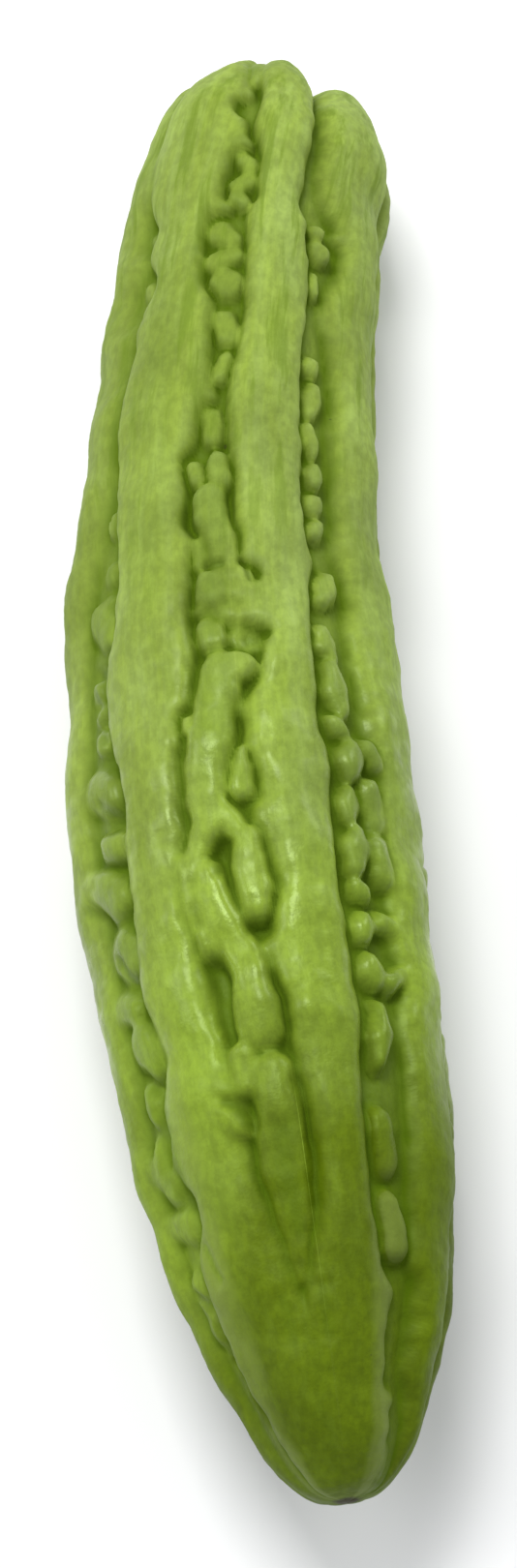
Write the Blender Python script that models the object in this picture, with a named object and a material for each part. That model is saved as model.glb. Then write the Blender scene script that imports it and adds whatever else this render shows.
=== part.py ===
"""A bitter gourd as picked, lying on its side on a flat surface.

The fruit grew as one piece, so it is one solid: a long bowed body with eight smooth crests running from
the stem end to the blossom end, and rows of swollen warts packed into the grooves between them.

The skin is a UV sphere whose points are moved by a formula. A point's row gives its place along the
body, its column gives its angle round it, and the relief there is the highest of the crests, the warts
and the winding folds. Millimetres and degrees are used for the shape, and metres for the finished mesh.

Frame: +Y towards the stem end, +Z up, and the origin under the middle of the gourd on the surface that
it lies on. Angles round the body are measured from the top, and grow towards +X.
"""

import math
from collections import namedtuple

import bmesh
import bpy
import numpy as np
from mathutils import Vector
from mathutils.noise import noise_vector

MILLIMETRE = 0.001

# The body: its length, how much its blossom end is lifted as it lies, and how deep its resting flats are.
LENGTH = 280.0
AXIS_LIFT = 2.7
FLAT_DEPTH = 0.6

# The outline in lengthwise section, from the stub of the stem to the blossom end: along, radius.
OUTLINE = (
    (6.0, 0.0), (6.0, 2.4), (9.5, 3.6), (6.0, 6.0), (0.8, 8.8), (0.8, 13.0), (5.0, 18.3), (14.0, 23.2),
    (32.0, 24.9), (70.0, 26.9), (112.0, 30.1), (154.0, 32.3), (196.0, 30.4), (224.0, 27.9),
    (246.0, 23.3), (263.0, 17.2), (274.0, 11.3), (279.0, 5.6), (280.0, 0.0),
)
RIM = 10.0  # how far the rim of the stem pit lies from the pit's middle, measured over the skin

# The bow of the axis to the side: along, sideways.
BOW = ((0, 12.2), (28, 4.8), (56, 0.5), (112, -4.3), (168, -2.4), (224, 3.4), (280, 8.2))

# Each crest's end at the stem lies this much further along: around, along.
SHOULDERS = (
    (0, 0.4), (8, 1.2), (18, 2.4), (30, 2.8), (45, 2.2), (60, 1.2), (80, 0.4), (100, 0.2), (160, 0.6),
    (230, 1), (300, 0), (345, 0), (360, 0.4),
)
SHOULDER_REACH = (12.0, 55.0)  # where along the body that shift begins to fade, and where it has gone
SHOULDER_PIT = (2.0, 9.0)  # it fades towards the middle of the pit, between these radii

# The grooves. Each has its two banks at points along the body: along, left bank, right bank. Where the
# banks have crossed, the two crests beside the groove have grown together.
LEFT_GROOVE = (
    (0, -52, -64), (20, -52, -62), (37, -50, -58), (40, -57, -52), (44, -57, -48), (46.5, -51, -53),
    (49, -52, -52), (51.5, -57, -47), (57, -58, -44), (60, -52, -50), (66, -48, -54), (73, -49, -54),
    (88, -49, -54), (95, -51, -52), (98, -55, -50), (105, -57, -49), (109, -60, -48), (114, -63, -47.5),
    (120, -64, -48.5), (125, -65, -47.5), (129, -66, -51), (132, -65, -53), (143, -64, -53),
    (148, -64, -50.5), (156, -64, -48), (161, -66, -47.5), (164, -66, -50), (168, -66, -50.5),
    (180, -66, -52), (190, -65, -54), (195, -64, -54.5), (199, -64, -52), (203, -64, -49.5),
    (207.5, -66, -52), (212, -69, -57), (217.5, -71, -58), (222, -72, -63), (226, -71, -57),
    (230, -70, -50), (234, -70, -53), (239, -72, -64), (246, -72, -63), (252, -72, -65),
    (258, -74, -66), (262, -74, -67), (266, -72, -63), (270, -68, -59), (275, -64, -57),
    (280, -60, -55),
)
FRONT_GROOVE = (
    (0, -26, -25), (4, -22.5, -21), (7, -18, -15.5), (10, -13.5, -10), (13, -12, -7), (15.5, -19, -7),
    (17.5, -18.5, -8), (19.5, -12, -8), (23, -8.5, -6), (26, -4.5, -2), (28.5, -12, 0.5), (31, -13, 1),
    (37, -13, 1), (39.5, -9, -2), (41.5, -17, -3), (45, -20, -2), (53, -19, 0), (57, -16, 0),
    (60, -12, 1), (68, -12, 0), (72, -10, -1), (76, -9, -2), (80, -7, -4), (84, -12, -3),
    (89, -14, -3), (93, -19, -1), (98, -18, 2), (102, -16, 1), (107.5, -17.5, 1.5), (110.5, -13, 3.5),
    (113.5, -13.2, 4), (115.2, -14.5, 4), (116, -14.3, 5.5), (120, -14.3, 6), (121, -14.3, -1.5),
    (128.6, -14.8, -1.5), (129.8, -14.2, 9.5), (132.5, -14, 10.5), (136, -14.6, 8), (139, -15.6, 6.5),
    (142, -16.5, 3), (144.3, -18, -0.8), (145.4, -20.8, -1.2), (147, -21.5, -0.8), (149, -20.8, -0.2),
    (151, -21, -0.6), (153, -21.4, -1.4), (155, -21.5, 0.3), (157, -21.6, 1.7), (160, -22, 2.8),
    (162, -22.2, 2), (164, -22, -0.5), (167, -21.6, -1.8), (170, -22.4, 0.8), (175, -24, 3.5),
    (180, -24.4, 4.2), (184, -24.6, 2.2), (187.5, -24.6, -1.3), (189.5, -24.5, -6), (192.5, -24, -5.5),
    (195, -23.5, -1), (198, -23, 0.5), (203, -22, 0.5), (208, -20, 0.5), (211, -16.5, 0.5),
    (216, -17, 0.5), (222, -19, 2), (228, -19.5, 3), (234, -17.5, 1.5), (239, -14.5, -1),
    (243, -12.5, -5), (247.5, -10, -9.5), (252, -4, -15), (280, 4, -20),
)
RIGHT_GROOVE = (
    (0, 24.5, 26.5), (8, 24.5, 27), (12, 25, 28), (16, 26, 30.5), (20, 26, 31.5), (26, 25, 31),
(31, 24, 34), (34, 23, 39),
    (37, 25, 45), (39.5, 29, 45), (42, 28, 48), (47, 30, 49), (53, 32, 42), (59, 32, 40), (65, 31, 45),
    (70, 30, 47), (77, 30, 48), (83, 30, 45.5), (89, 31, 45), (96, 30, 46.5), (103, 29, 46), (109, 31, 44),
    (114, 34, 47), (118, 31, 50), (122, 30.5, 49), (127, 30, 46), (133, 29, 47), (141, 29, 48),
    (149, 28, 46), (155, 30, 50), (164, 29, 46), (174, 28, 49), (182, 29, 47), (189, 30, 47),
    (196, 30, 49), (204, 30, 47), (212, 27, 48), (223, 26, 47), (230, 26, 46), (237, 28, 48),
    (243.5, 30, 46), (245.5, 31, 47), (247, 34, 50), (250, 40, 52), (254, 37, 52), (258, 33, 51),
    (262, 34, 51), (264.5, 37, 54), (266, 46, 57), (269, 43, 58), (273, 46, 62), (276, 54, 68),
    (280, 60, 72),
)
# The grooves on the sides and underneath follow a rule: each is named by the angle of its middle. One
# opens along the first stretch, is at its widest up to the second, and closes along the second.
PLAIN_GROOVES = (87.0, 134.5, 181.5, 221.0, 256.0)
PLAIN_OPENS = (25.0, 75.0)
PLAIN_CLOSES = (215.0, 262.0)
PLAIN_HALF_WIDTHS = (1.2, 7.5)  # degrees, where a plain groove is narrowest and widest
PLAIN_STATION = 8.0  # how far apart the points of a plain groove's banks are
PLAIN_WAVER = 2.6  # degrees that each bank strays
PLAIN_DRIFT = 2.0  # degrees that the whole groove wanders, once in each length of DRIFT_WAVE
DRIFT_WAVE = 195.0

# Relief, in millimetres from the floor of a groove.
CREST_HEIGHT = 5.0
# How far in from a bank a crest has risen over its edge, at the stem and blossom ends, and the power that
# makes its foot steep. Each groove has its left bank's and its right bank's.
STEEP = (2.8, 4.4, 0.5)
GENTLE = (10.0, 8.5, 1.0)
SLOPING = (5.5, 3.2, 0.6)
FLANKS = ((GENTLE, STEEP), (STEEP, STEEP), (STEEP, SLOPING), *5 * ((STEEP, STEEP),))
EDGE_SHARE = 0.64  # how much of a crest's height is in its edge; the rest is in its broad crown
CREST_ROUNDNESS = 2.4
WART_ROUNDNESS = 3.1
CROWN_WINDOW = (-10.0, -5.0, 0.0, 5.0, 10.0)  # the crown follows its banks as averaged over these lengths
CREASE_FILL = (0.35, 0.9)  # how far creases are filled, at the stem end and at the blossom end
LEFT_FILL = 1.1  # how much further they are filled in the left groove and beyond it
LEFT_FILL_TURNS = (-50.0, -61.0)
FILL_CHANGES = (110.0, 215.0)  # where along the body the fill changes from one to the other
SWELL_HEIGHT = 0.45  # how much the skin rises and falls along its way
SWELL_WAVES = (16.0, 60.0)  # the shortest and the longest rise and fall
SWELLS = 12
TIP_FADE = 32.0  # the crests sink into the blossom end over this length of skin
PIT_FADE = (6.0, 24.0)  # and into the stem pit over this one

# The warts of the upper grooves: along, half length. Each is as wide as its groove.
LEFT_WARTS = (
    (42.5, 1.8), (54, 2.4), (102, 2.8), (112, 3), (118, 2.8), (124, 3.2), (133.5, 2.6), (138.5, 2.6),
    (144, 3), (210, 4.6), (219, 4.2),
)
FRONT_WARTS = (
    (29.5, 2), (33.5, 2.2), (37.5, 2), (45.5, 3), (50.5, 2.4), (55.5, 3.2), (65.5, 4.4), (74, 3.8),
    (87, 4.6),
)
RIGHT_WARTS = (
    (40.5, 2.2), (45, 2.8), (52.5, 3.4), (70.5, 2.6), (78, 4.6), (87, 4.2), (94.5, 3.4), (101, 2.8),
    (106.5, 3), (119, 4.6), (131.5, 4.6), (140.8, 6.6), (148.5, 2.3), (155, 5), (164, 4.4),
    (172.5, 6), (180.5, 2.3), (187, 3.8), (195, 4), (207, 6.8),
)
# Lobes that lie across the flanks beside the outer two rows, and the winding folds in the front groove:
# each is its height as a share of the crests', and its points of
# along, around, half width.
FOLDS = (
    (0.64, ((120, -60, 4.2), (123, -54, 4.4))),
    (0.66, ((152, -63, 4.8), (154, -57, 4.8))),
    (0.78, ((163.5, -59, 3.4), (164, -53, 3.8))),
    (0.80, ((168, -72, 3.8), (173, -58, 4.8))),
    (0.72, ((182, -62, 5.0), (184, -57, 5.0))),
    (0.68, ((191, -68, 3.4), (193, -60, 3.4))),
    (0.74, ((199, -60, 4.8), (202, -55, 4.8))),
    (0.62, ((220, -76, 3.2), (225, -64, 3.8))),
    (0.66, ((231, -74, 3.0), (233, -60, 3.6))),
    (0.64, ((243, -70, 3.4), (250, -69, 3.4))),
    (0.84, ((152, 45, 2.2), (154.5, 49, 2.2))),
    (0.86, ((160.5, 45, 3.0), (165.5, 47, 3.4))),
    (0.86, ((171, 46, 3.2), (176.5, 47, 3.2))),
    (0.84, ((186, 43, 2.6), (187, 51, 2.4))),
    (0.80, ((197, 44, 2.4), (195, 50, 2.2))),
    (0.72, ((-10, -30, 2.4), (1, -25, 2.4), (8, -14, 2.0))),
    (0.62, ((95.5, -15, 1.8), (98.5, -13, 1.8))),
    (0.74, ((94.5, -5.5, 2.9), (98, -4, 3.0))),
    (0.84, ((102.5, -8, 3.5), (107, -7, 3.8), (111, -3.5, 3.7), (115, -2, 3.6))),
    (0.60, ((112, -12.5, 2.0), (115.5, -11, 2.2))),
    (0.80, ((118.8, -5, 2.8), (118.8, 4, 2.6), (122, 4, 3.0), (122, -3, 3.0))),
    (0.94, ((119.8, -8.2, 3.2), (122.3, -7.2, 3.7))),
    (0.76, ((129, -9.4, 2.6), (131.4, -9.0, 2.9))),
    (0.74, ((129.4, -5.8, 2.0), (131.8, -5.4, 2.4))),
    (0.90, ((137.3, 2.0, 3.4), (137.8, -5.5, 4.6), (142, -7.4, 5.0), (147, -10.2, 4.8), (152, -11.5, 5.6),
            (157, -14.2, 4.9), (162, -15.1, 4.5), (166.5, -15.6, 3.6), (171, -19.6, 2.8), (175, -22.6, 2.6))),
    (0.84, ((164, -12, 3.2), (167.5, -7, 3.0))),
    (0.82, ((153.4, -0.6, 0.7), (157, -1.8, 2.4), (160.6, -2.6, 3.2))),
    (0.74, ((146.6, -18.8, 1.5), (148.2, -18.6, 1.6))),
    (0.45, ((131, 3, 3.4), (131.5, 7.5, 3.2))),
    (0.90, ((170.5, -3, 3.4), (175, -3, 4.0), (180, -2.8, 4.0), (183, -3.6, 3.5))),
    (0.86, ((173, -25, 3.0), (181, -23.5, 3.4), (188, -21, 3.2))),
    (0.92, ((175.5, -17, 3.0), (179, -17.5, 3.9), (184, -16, 4.1), (189, -12.5, 4.2), (194, -9, 4.3), (199, -9, 4.7),
            (204, -9.3, 5.0))),
    (0.92, ((212, -7.5, 4.6), (218, -7, 4.8))),
    (0.88, ((208.5, -16.5, 3.4), (213, -17.5, 3.4))),
    (0.78, ((214, -8, 5.0), (222, -8.5, 5.6), (229, -8, 5.6))),
    (0.68, ((229, -8, 5.6), (237, -8, 4.4), (242, -9, 3.0), (247, -9.5, 2.0))),
    (1.06, ((217, -28, 3.0), (220.5, -23.5, 3.0))),
    (0.74, ((222, 31.5, 3.0), (228.5, 33.5, 3.4))),
    (0.76, ((236, 34.5, 3.0), (242, 37.5, 3.8))),
)
# Shallow hollows in the skin: each is its depth, and its points of along, around, half width.
HOLLOWS = (
    (1.2, ((116.2, -8, 1.5), (116.2, -3.5, 1.4))),
    (0.8, ((115.5, 5.0, 1.0), (119.8, 6.2, 0.9))),
    (0.9, ((131.8, 5, 2.8), (131.8, 9, 3.0))),
    (0.8, ((171.5, -13, 1.8), (175, -13, 2.0))),
    (0.9, ((186.5, -6, 2.2), (186.8, -2, 1.8))),
    (0.5, ((181, -24, 2.0), (184, -24, 2.0))),
    (1.1, ((191, -20.5, 2.8), (196, -19, 3.0))),
    (1.0, ((215.5, -25, 1.8), (217, -21, 2.2), (220.5, -18, 2.2))),
    (1.2, ((151, -48.5, 1.8), (156, -47.5, 2.4), (158.5, -47, 2.0))),
    (0.8, ((161, -64, 2.4), (164, -62, 2.4))),
    (0.6, ((223, -8, 5.0), (232, -8, 5.0), (239, -7, 3.0))),
    (0.7, ((214, 0.5, 1.6), (221, 2, 1.8), (228, 2.5, 1.8), (235, 1, 1.8))),
    (0.5, ((250, -20, 2.4), (257, -18, 2.6))),
    (0.5, ((249, -1, 2.4), (256, 0, 2.4))),
    (0.7, ((238, -49, 2.0), (244, -46, 2.0))),
    (1.3, ((129.5, -63, 2.0), (130.5, -53, 2.4))),
    (0.8, ((134, -61, 2.0), (137, -60, 2.0))),
    (0.8, ((140, -56, 2.0), (144, -55, 2.0))),
    (0.8, ((155, -60, 1.8), (158, -55.5, 2.4))),
    (1.3, ((160.5, -55, 2.0), (161.5, -48, 2.4))),
    (0.8, ((171.5, -76, 2.0), (175.5, -66, 2.6))),
    (1.0, ((183, -63, 1.8), (190, -55.5, 2.6))),
    (0.9, ((204, -63, 1.8), (208, -59, 2.2))),
    (0.9, ((243, -73, 1.5), (247, -64, 1.8))),
    (0.8, ((250, -65, 1.5), (254, -60, 1.6))),
    (0.9, ((256, -69, 1.5), (259, -62, 1.6))),
    (0.9, ((263, -67, 1.5), (267, -60, 1.6))),
)

# Every wart's height is a share of the crests', lower near the stem end. The rows in the plain grooves
# are made by rule: from where to where they run, how long and how far apart the warts are.
WART_SHARES = (0.5, 0.74)
SHARE_CHANGES = (60.0, 180.0)
WART_FILL = 1.04  # a wart's width as a share of its groove's
# Each upper row's habit: how high its warts stand by the rule, how far aside, how much of the groove they
# fill, and how far their ends narrow to points.
LEFT_HABIT = ((0.55, 0.95), (-3.0, 3.0), 1.0, 0.3)
FRONT_HABIT = ((0.88, 1.1), (0.0, 0.0), 1.04, 0.0)
RIGHT_HABIT = ((0.95, 1.2), (-3.3, -2.2), 0.70, 0.4)
WART_THINNEST = 1.3
WART_SLANT = 0.35  # how far a wart's ends lie off its straight line, and how much one end is thicker
WART_TAPER = 0.16
PLAIN_WARTS = (26.0, 246.0)
WART_LENGTHS = (2.6, 5.6)
WART_SPACING = 1.8  # in half lengths
WART_ASIDE = 1.2  # degrees that a wart strays from the middle of its groove
TOO_NARROW = 5.0  # degrees: a plain groove that is narrower has no warts
SEED = 7
STRAYS = ((9.0, 0.35), (4.0, 0.5), (2.2, 0.2))  # every outline strays from the lists: how far apart, and how far
BANK_STEP = 0.4  # how far apart the points are from which a crest's distance to its banks is taken
BANK_NEAR = 10.0

# The mesh: rows and columns of the sphere, and the share of its faces that is kept.
ROWS = 300
COLUMNS = 200
KEPT_FACES = 0.088
CUTTER_SIZE = (0.2, 0.4, 0.02)  # metres, of the block that trims the underside flat

SKIN_COLOUR = (0.29, 0.40, 0.07, 1.0)
SKIN_ROUGHNESS = 0.45

Bump = namedtuple("Bump", "start end height")  # start and end are along, around, half width


def smooth_through(points, places):
    """Values at places on a smooth curve through points of place, value."""
    x, y = np.array(points, float).T
    slope = np.gradient(y, x)
    i = np.clip(np.searchsorted(x, places) - 1, 0, len(x) - 2)
    step = x[i + 1] - x[i]
    t = np.clip((places - x[i]) / step, 0.0, 1.0)
    start, end = (1 + 2 * t) * (1 - t) ** 2, t * t * (3 - 2 * t)
    leave, arrive = t * (1 - t) ** 2 * step, t * t * (t - 1) * step
    return start * y[i] + end * y[i + 1] + leave * slope[i] + arrive * slope[i + 1]


def ease(low, high, value):
    """0 below low and 1 above high, with a smooth rise between them."""
    t = np.clip((value - low) / (high - low), 0.0, 1.0)
    return t * t * (3 - 2 * t)


def smooth_max(a, b, softness):
    """The larger of a and b, with the crease between them filled."""
    near = np.maximum(softness - np.abs(a - b), 0.0) / softness
    return np.maximum(a, b) + near**3 * softness / 6.0


def turn_between(angle, origin):
    """The angle from origin, from -180 to 180 degrees."""
    return (angle - origin + 180.0) % 360.0 - 180.0


def meridian(rows):
    """Along, radius, their directions and the distance over the skin, at evenly spaced rows."""
    points = np.array(OUTLINE)
    reach = np.r_[0.0, np.cumsum(np.hypot(*np.diff(points, axis=0).T))]
    fine = np.linspace(0.0, reach[-1], 40 * rows)
    along = smooth_through(np.c_[reach, points[:, 0]], fine)
    radius = smooth_through(np.c_[reach, points[:, 1]], fine)
    radius[[0, -1]] = 0.0
    skin = np.r_[0.0, np.cumsum(np.hypot(np.diff(along), np.diff(radius)))]
    place = np.linspace(0.0, skin[-1], rows)
    along, radius = np.interp(place, skin, along), np.interp(place, skin, radius)
    forward, outward = np.gradient(along, place), np.gradient(radius, place)
    size = np.hypot(forward, outward)
    return along, radius, forward / size, outward / size, place


def plain_groove(middle, rng):
    """Banks of a groove on the sides or underneath, narrow at both ends and wavy between them."""
    along = np.arange(0.0, LENGTH + PLAIN_STATION, PLAIN_STATION)
    open_here = ease(*PLAIN_OPENS, along) * (1.0 - ease(*PLAIN_CLOSES, along))
    narrow, wide = PLAIN_HALF_WIDTHS
    half = narrow + (wide - narrow) * open_here
    drift = PLAIN_DRIFT * np.sin(2 * math.pi * (along / DRIFT_WAVE + rng.uniform()))
    strays = rng.uniform(-PLAIN_WAVER, PLAIN_WAVER, (2, len(along)))
    left, right = strays * (0.25 + 0.75 * open_here)
    return np.c_[along, middle + drift - half + left, middle + drift + half + right]


def banks(groove, along):
    """The left and right bank of a groove, in degrees, at places along the body."""
    stations = np.array(groove, float)
    return (
        smooth_through(stations[:, (0, 1)], along),
        smooth_through(stations[:, (0, 2)], along),
    )


def radius_at(along):
    """The body's radius, past the rim."""
    past_rim = np.array([p for p in OUTLINE if p[1] > RIM or p[0] > LENGTH / 2])
    return np.interp(along, *past_rim.T)


def wart(groove, along, half_length, height, rng, aside, fill=WART_FILL, point=0.0):
    """A wart across its groove, a little slanted, as one bump or as two that narrow to points."""
    left, right = banks(groove, np.array([along]))
    to_mm = math.radians(1.0) * float(radius_at(along))
    half_width = max(WART_THINNEST, fill * float(right[0] - left[0]) / 2 * to_mm)
    around = float(left[0] + right[0]) / 2 + aside
    thin = min(half_width, half_length)
    reach, spread = half_length - thin * (1.0 - point), (half_width - thin) / to_mm
    slant, taper = rng.uniform(-WART_SLANT, WART_SLANT) * thin, rng.uniform(-WART_TAPER, WART_TAPER)
    if reach > spread * to_mm:
        spread = spread + slant / to_mm
    else:
        reach = reach + slant
    start = (along - reach, around - spread, thin * (1.0 - taper) * (1.0 - point))
    end = (along + reach, around + spread, thin * (1.0 + taper) * (1.0 - point))
    if point == 0.0:
        return [Bump(start, end, height)]
    middle = (along, around, thin)
    return [Bump(start, middle, height), Bump(middle, end, height)]


def wart_height(along):
    """How high warts stand at a place along the body."""
    low, high = WART_SHARES
    return CREST_HEIGHT * (low + (high - low) * float(ease(*SHARE_CHANGES, along)))


def row_of_warts(groove, rng):
    """Warts one after another down a groove, each a little larger or smaller than the last."""
    bumps, along = [], PLAIN_WARTS[0]
    while along < PLAIN_WARTS[1]:
        half = rng.uniform(*WART_LENGTHS)
        left, right = banks(groove, np.array([along + half]))
        if right[0] - left[0] > TOO_NARROW:
            height = wart_height(along) * rng.uniform(0.86, 1.1)
            aside = rng.uniform(-WART_ASIDE, WART_ASIDE)
            bumps += wart(groove, along + half, half, height, rng, aside)
        along += WART_SPACING * half
    return bumps


def listed_warts(groove, places, habit, rng):
    """The warts of an upper groove, each higher or lower and further aside than the last."""
    shares, asides, fill, point = habit
    bumps = []
    for along, half in places:
        height = wart_height(along) * rng.uniform(*shares)
        bumps += wart(groove, along, half, height, rng, rng.uniform(*asides), fill, point)
    return bumps


def folds():
    """The lobes and winding folds, as bumps that run from each point to the next."""
    return [
        Bump(start, end, share * CREST_HEIGHT)
        for share, points in FOLDS
        for start, end in zip(points, points[1:])
    ]


def layout():
    """The eight grooves in order round the body, and every bump in them."""
    rng = np.random.default_rng(SEED)
    plain = [plain_groove(middle, rng) for middle in PLAIN_GROOVES]
    grooves = [LEFT_GROOVE, FRONT_GROOVE, RIGHT_GROOVE, *plain]
    bumps = listed_warts(FRONT_GROOVE, FRONT_WARTS, FRONT_HABIT, rng) + folds()
    bumps += listed_warts(RIGHT_GROOVE, RIGHT_WARTS, RIGHT_HABIT, rng)
    bumps += listed_warts(LEFT_GROOVE, LEFT_WARTS, LEFT_HABIT, rng)
    for groove in plain:
        bumps += row_of_warts(groove, rng)
    return grooves, bumps


def distance_to(bank, along, around, to_mm):
    """How far each point of the skin is from a bank, in millimetres."""
    distance = np.empty_like(along)
    for row in range(len(along)):
        near = bank[np.abs(bank[:, 0] - along[row].mean()) < BANK_NEAR]
        x = near[:, 0] - along[row][:, None]
        y = turn_between(near[:, 1], around[row][:, None]) * to_mm[row]
        distance[row] = np.sqrt((x * x + y * y).min(axis=1))
    return distance


def crests(grooves, along, around, to_mm, softness):
    """Height of the crests over the floor of the grooves, in millimetres."""
    height = np.zeros(along.shape)
    stations = np.arange(-2 * RIM, LENGTH + RIM, BANK_STEP)
    sides = [*zip(grooves, FLANKS)]
    for (groove, (_, left_flank)), (next_groove, (right_flank, _)) in zip(sides, sides[1:] + sides[:1]):
        left, right = banks(groove, along)[1], banks(next_groove, along)[0]
        right = left + (right - left) % 360.0
        inside = np.abs(turn_between(around, (left + right) / 2)) < (right - left) / 2
        edge = 1.0
        for (at_stem, at_blossom, power), bank in (
            (left_flank, banks(groove, stations)[1]), (right_flank, banks(next_groove, stations)[0]),
        ):
            rise = at_stem + (at_blossom - at_stem) * ease(*FILL_CHANGES, along)
            distance = distance_to(np.c_[stations, bank], along, around, to_mm)
            short = 1.0 - np.minimum(distance / rise, 1.0)
            edge = edge * (1.0 - short**CREST_ROUNDNESS) ** power
        left = sum(banks(groove, along + shift)[1] for shift in CROWN_WINDOW) / len(CROWN_WINDOW)
        right = sum(banks(next_groove, along + shift)[0] for shift in CROWN_WINDOW) / len(CROWN_WINDOW)
        right = left + (right - left) % 360.0
        across = np.minimum(np.abs(turn_between(around, (left + right) / 2)) * 2 / (right - left), 1.0)
        crown = 1.0 - across**CREST_ROUNDNESS
        crest = CREST_HEIGHT * (EDGE_SHARE * edge + (1.0 - EDGE_SHARE) * crown)
        height = smooth_max(height, np.where(inside, crest, 0.0), softness)
    return height


def reach_of(start_point, end_point, along, around, to_mm):
    """Distance from a line between two points of the skin: 0 on the line, 1 at its half width."""
    (start, start_turn, start_half), (end, end_turn, end_half) = start_point, end_point
    x, y = along - start, turn_between(around, start_turn) * to_mm
    run, rise = end - start, (end_turn - start_turn) * to_mm
    reach = np.maximum(run * run + rise * rise, 1e-9)
    t = np.clip((x * run + y * rise) / reach, 0.0, 1.0)
    half = start_half + t * (end_half - start_half)
    return np.minimum(np.hypot(x - t * run, y - t * rise) / half, 1.0)


def hollowing(along, around, to_mm):
    """Depth of the shallow hollows, in millimetres."""
    deepest = np.zeros(along.shape)
    for depth, points in HOLLOWS:
        for start, end in zip(points, points[1:]):
            away = reach_of(start, end, along, around, to_mm)
            deepest = np.maximum(deepest, depth * (1.0 - away**2) ** 2)
    return deepest


def relief(along, around, radius, grooves, bumps):
    """Height over the floor of the grooves, in millimetres."""
    sharp, soft = CREASE_FILL
    softness = sharp + (soft - sharp) * ease(*FILL_CHANGES, along)
    softness = softness + LEFT_FILL * ease(*LEFT_FILL_TURNS, turn_between(around, 0.0))
    to_mm = math.radians(1.0) * np.maximum(radius, 1.0)
    height = crests(grooves, along, around, to_mm, softness)
    for bump in bumps:
        away = reach_of(bump.start, bump.end, along, around, to_mm)
        height = smooth_max(height, bump.height * np.sqrt(1.0 - away**WART_ROUNDNESS), softness)
    return height


def straying(straight):
    """How far the relief strays from its lists at points of the skin, in millimetres each way."""
    total = np.zeros(straight.shape)
    for size, reach in STRAYS:
        points = straight.reshape(-1, 3) / size
        vectors = [noise_vector(Vector(point)) for point in points]
        total += reach * np.array(vectors).reshape(straight.shape)
    return total[..., 0], total[..., 1]


def swelling(along, around):
    """The uneven rise and fall of the skin, from a few long waves that run round and along the body."""
    rng = np.random.default_rng(SEED)
    total = 0.0
    for _ in range(SWELLS):
        per_turn = rng.integers(-7, 8)
        per_mm = 2 * math.pi / rng.uniform(*SWELL_WAVES)
        phase = rng.uniform(0.0, 2 * math.pi)
        total = total + np.sin(per_mm * along + np.radians(per_turn * around) + phase)
    return SWELL_HEIGHT * total / math.sqrt(SWELLS)


def directions(along):
    """Unit vectors at places along the body: ahead on its bowed axis, and to the side of it."""
    slant = smooth_through(BOW, along + 0.5) - smooth_through(BOW, along - 0.5)
    flat, one = np.zeros_like(slant), np.ones_like(slant)
    length = np.sqrt(1.0 + slant**2)[:, None]
    return np.stack([slant, -one, flat], -1) / length, np.stack([one, slant, flat], -1) / length


def laid_down(points):
    """The points in metres, leaning as the gourd lies, with the origin under their middle."""
    lean = math.radians(AXIS_LIFT)
    across = (1.0, 0.0, 0.0)
    along = (0.0, math.cos(lean), math.sin(lean))
    upward = (0.0, -math.sin(lean), math.cos(lean))
    points = points @ np.array((across, along, upward)).T
    low, high = points.min(axis=(0, 1)), points.max(axis=(0, 1))
    middle = (low + high) / 2
    return (points - (middle[0], middle[1], low[2] + FLAT_DEPTH)) * MILLIMETRE


def skin(rows, columns):
    """Points of the skin, one row of them for each place along the body."""
    along, radius, forward, outward, place = meridian(rows)
    around = np.arange(columns) * 360.0 / columns
    stretch = np.where(place < RIM, place - RIM, along)[:, None]
    turn = np.radians(around)
    straight = np.stack(
        np.broadcast_arrays(
            radius[:, None] * np.sin(turn), -place[:, None], radius[:, None] * np.cos(turn)
        ),
        -1,
    )
    to_mm = math.radians(1.0) * np.maximum(radius, 1.0)[:, None]
    stray_along, stray_aside = straying(straight)
    strayed_along, strayed_around = stretch + stray_along, around[None, :] + stray_aside / to_mm
    height = relief(strayed_along, strayed_around, radius[:, None], *layout())
    height = height * (1.0 + swelling(stretch, around[None, :]) / CREST_HEIGHT)
    height = height - hollowing(strayed_along, strayed_around, to_mm)
    fade = ease(*PIT_FADE, place) * ease(0.0, TIP_FADE, place[-1] - place)
    sunk = (height - CREST_HEIGHT) * fade[:, None]
    late = smooth_through(SHOULDERS, around)[None, :] * (1.0 - ease(*SHOULDER_REACH, along))[:, None]
    late = late * ease(*SHOULDER_PIT, radius)[:, None]

    ahead, side = (vector[:, None, :] for vector in directions(along))
    out = np.sin(turn)[None, :, None] * side + np.cos(turn)[None, :, None] * np.array((0.0, 0.0, 1.0))
    normal = forward[:, None, None] * out - outward[:, None, None] * ahead
    axis = np.stack([smooth_through(BOW, along), LENGTH / 2 - along, np.zeros_like(along)], -1)
    points = axis[:, None, :] + late[:, :, None] * ahead + radius[:, None, None] * out
    return laid_down(points + sunk[:, :, None] * normal)


def gourd_mesh(name, rows, columns):
    """A UV sphere of that many rows and columns, with its points moved onto the skin."""
    shape = bmesh.new()
    bmesh.ops.create_uvsphere(shape, u_segments=columns, v_segments=rows - 1, radius=1.0)
    points = skin(rows, columns)
    for vertex in shape.verts:
        x, y, z = vertex.co
        row = round(math.acos(max(-1.0, min(1.0, z))) / math.pi * (rows - 1))
        column = round(math.atan2(x, -y) / (2 * math.pi) * columns) % columns
        vertex.co = points[row, column]
    bmesh.ops.recalc_face_normals(shape, faces=shape.faces)
    mesh = bpy.data.meshes.new(name)
    shape.to_mesh(mesh)
    shape.free()
    return mesh


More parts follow.
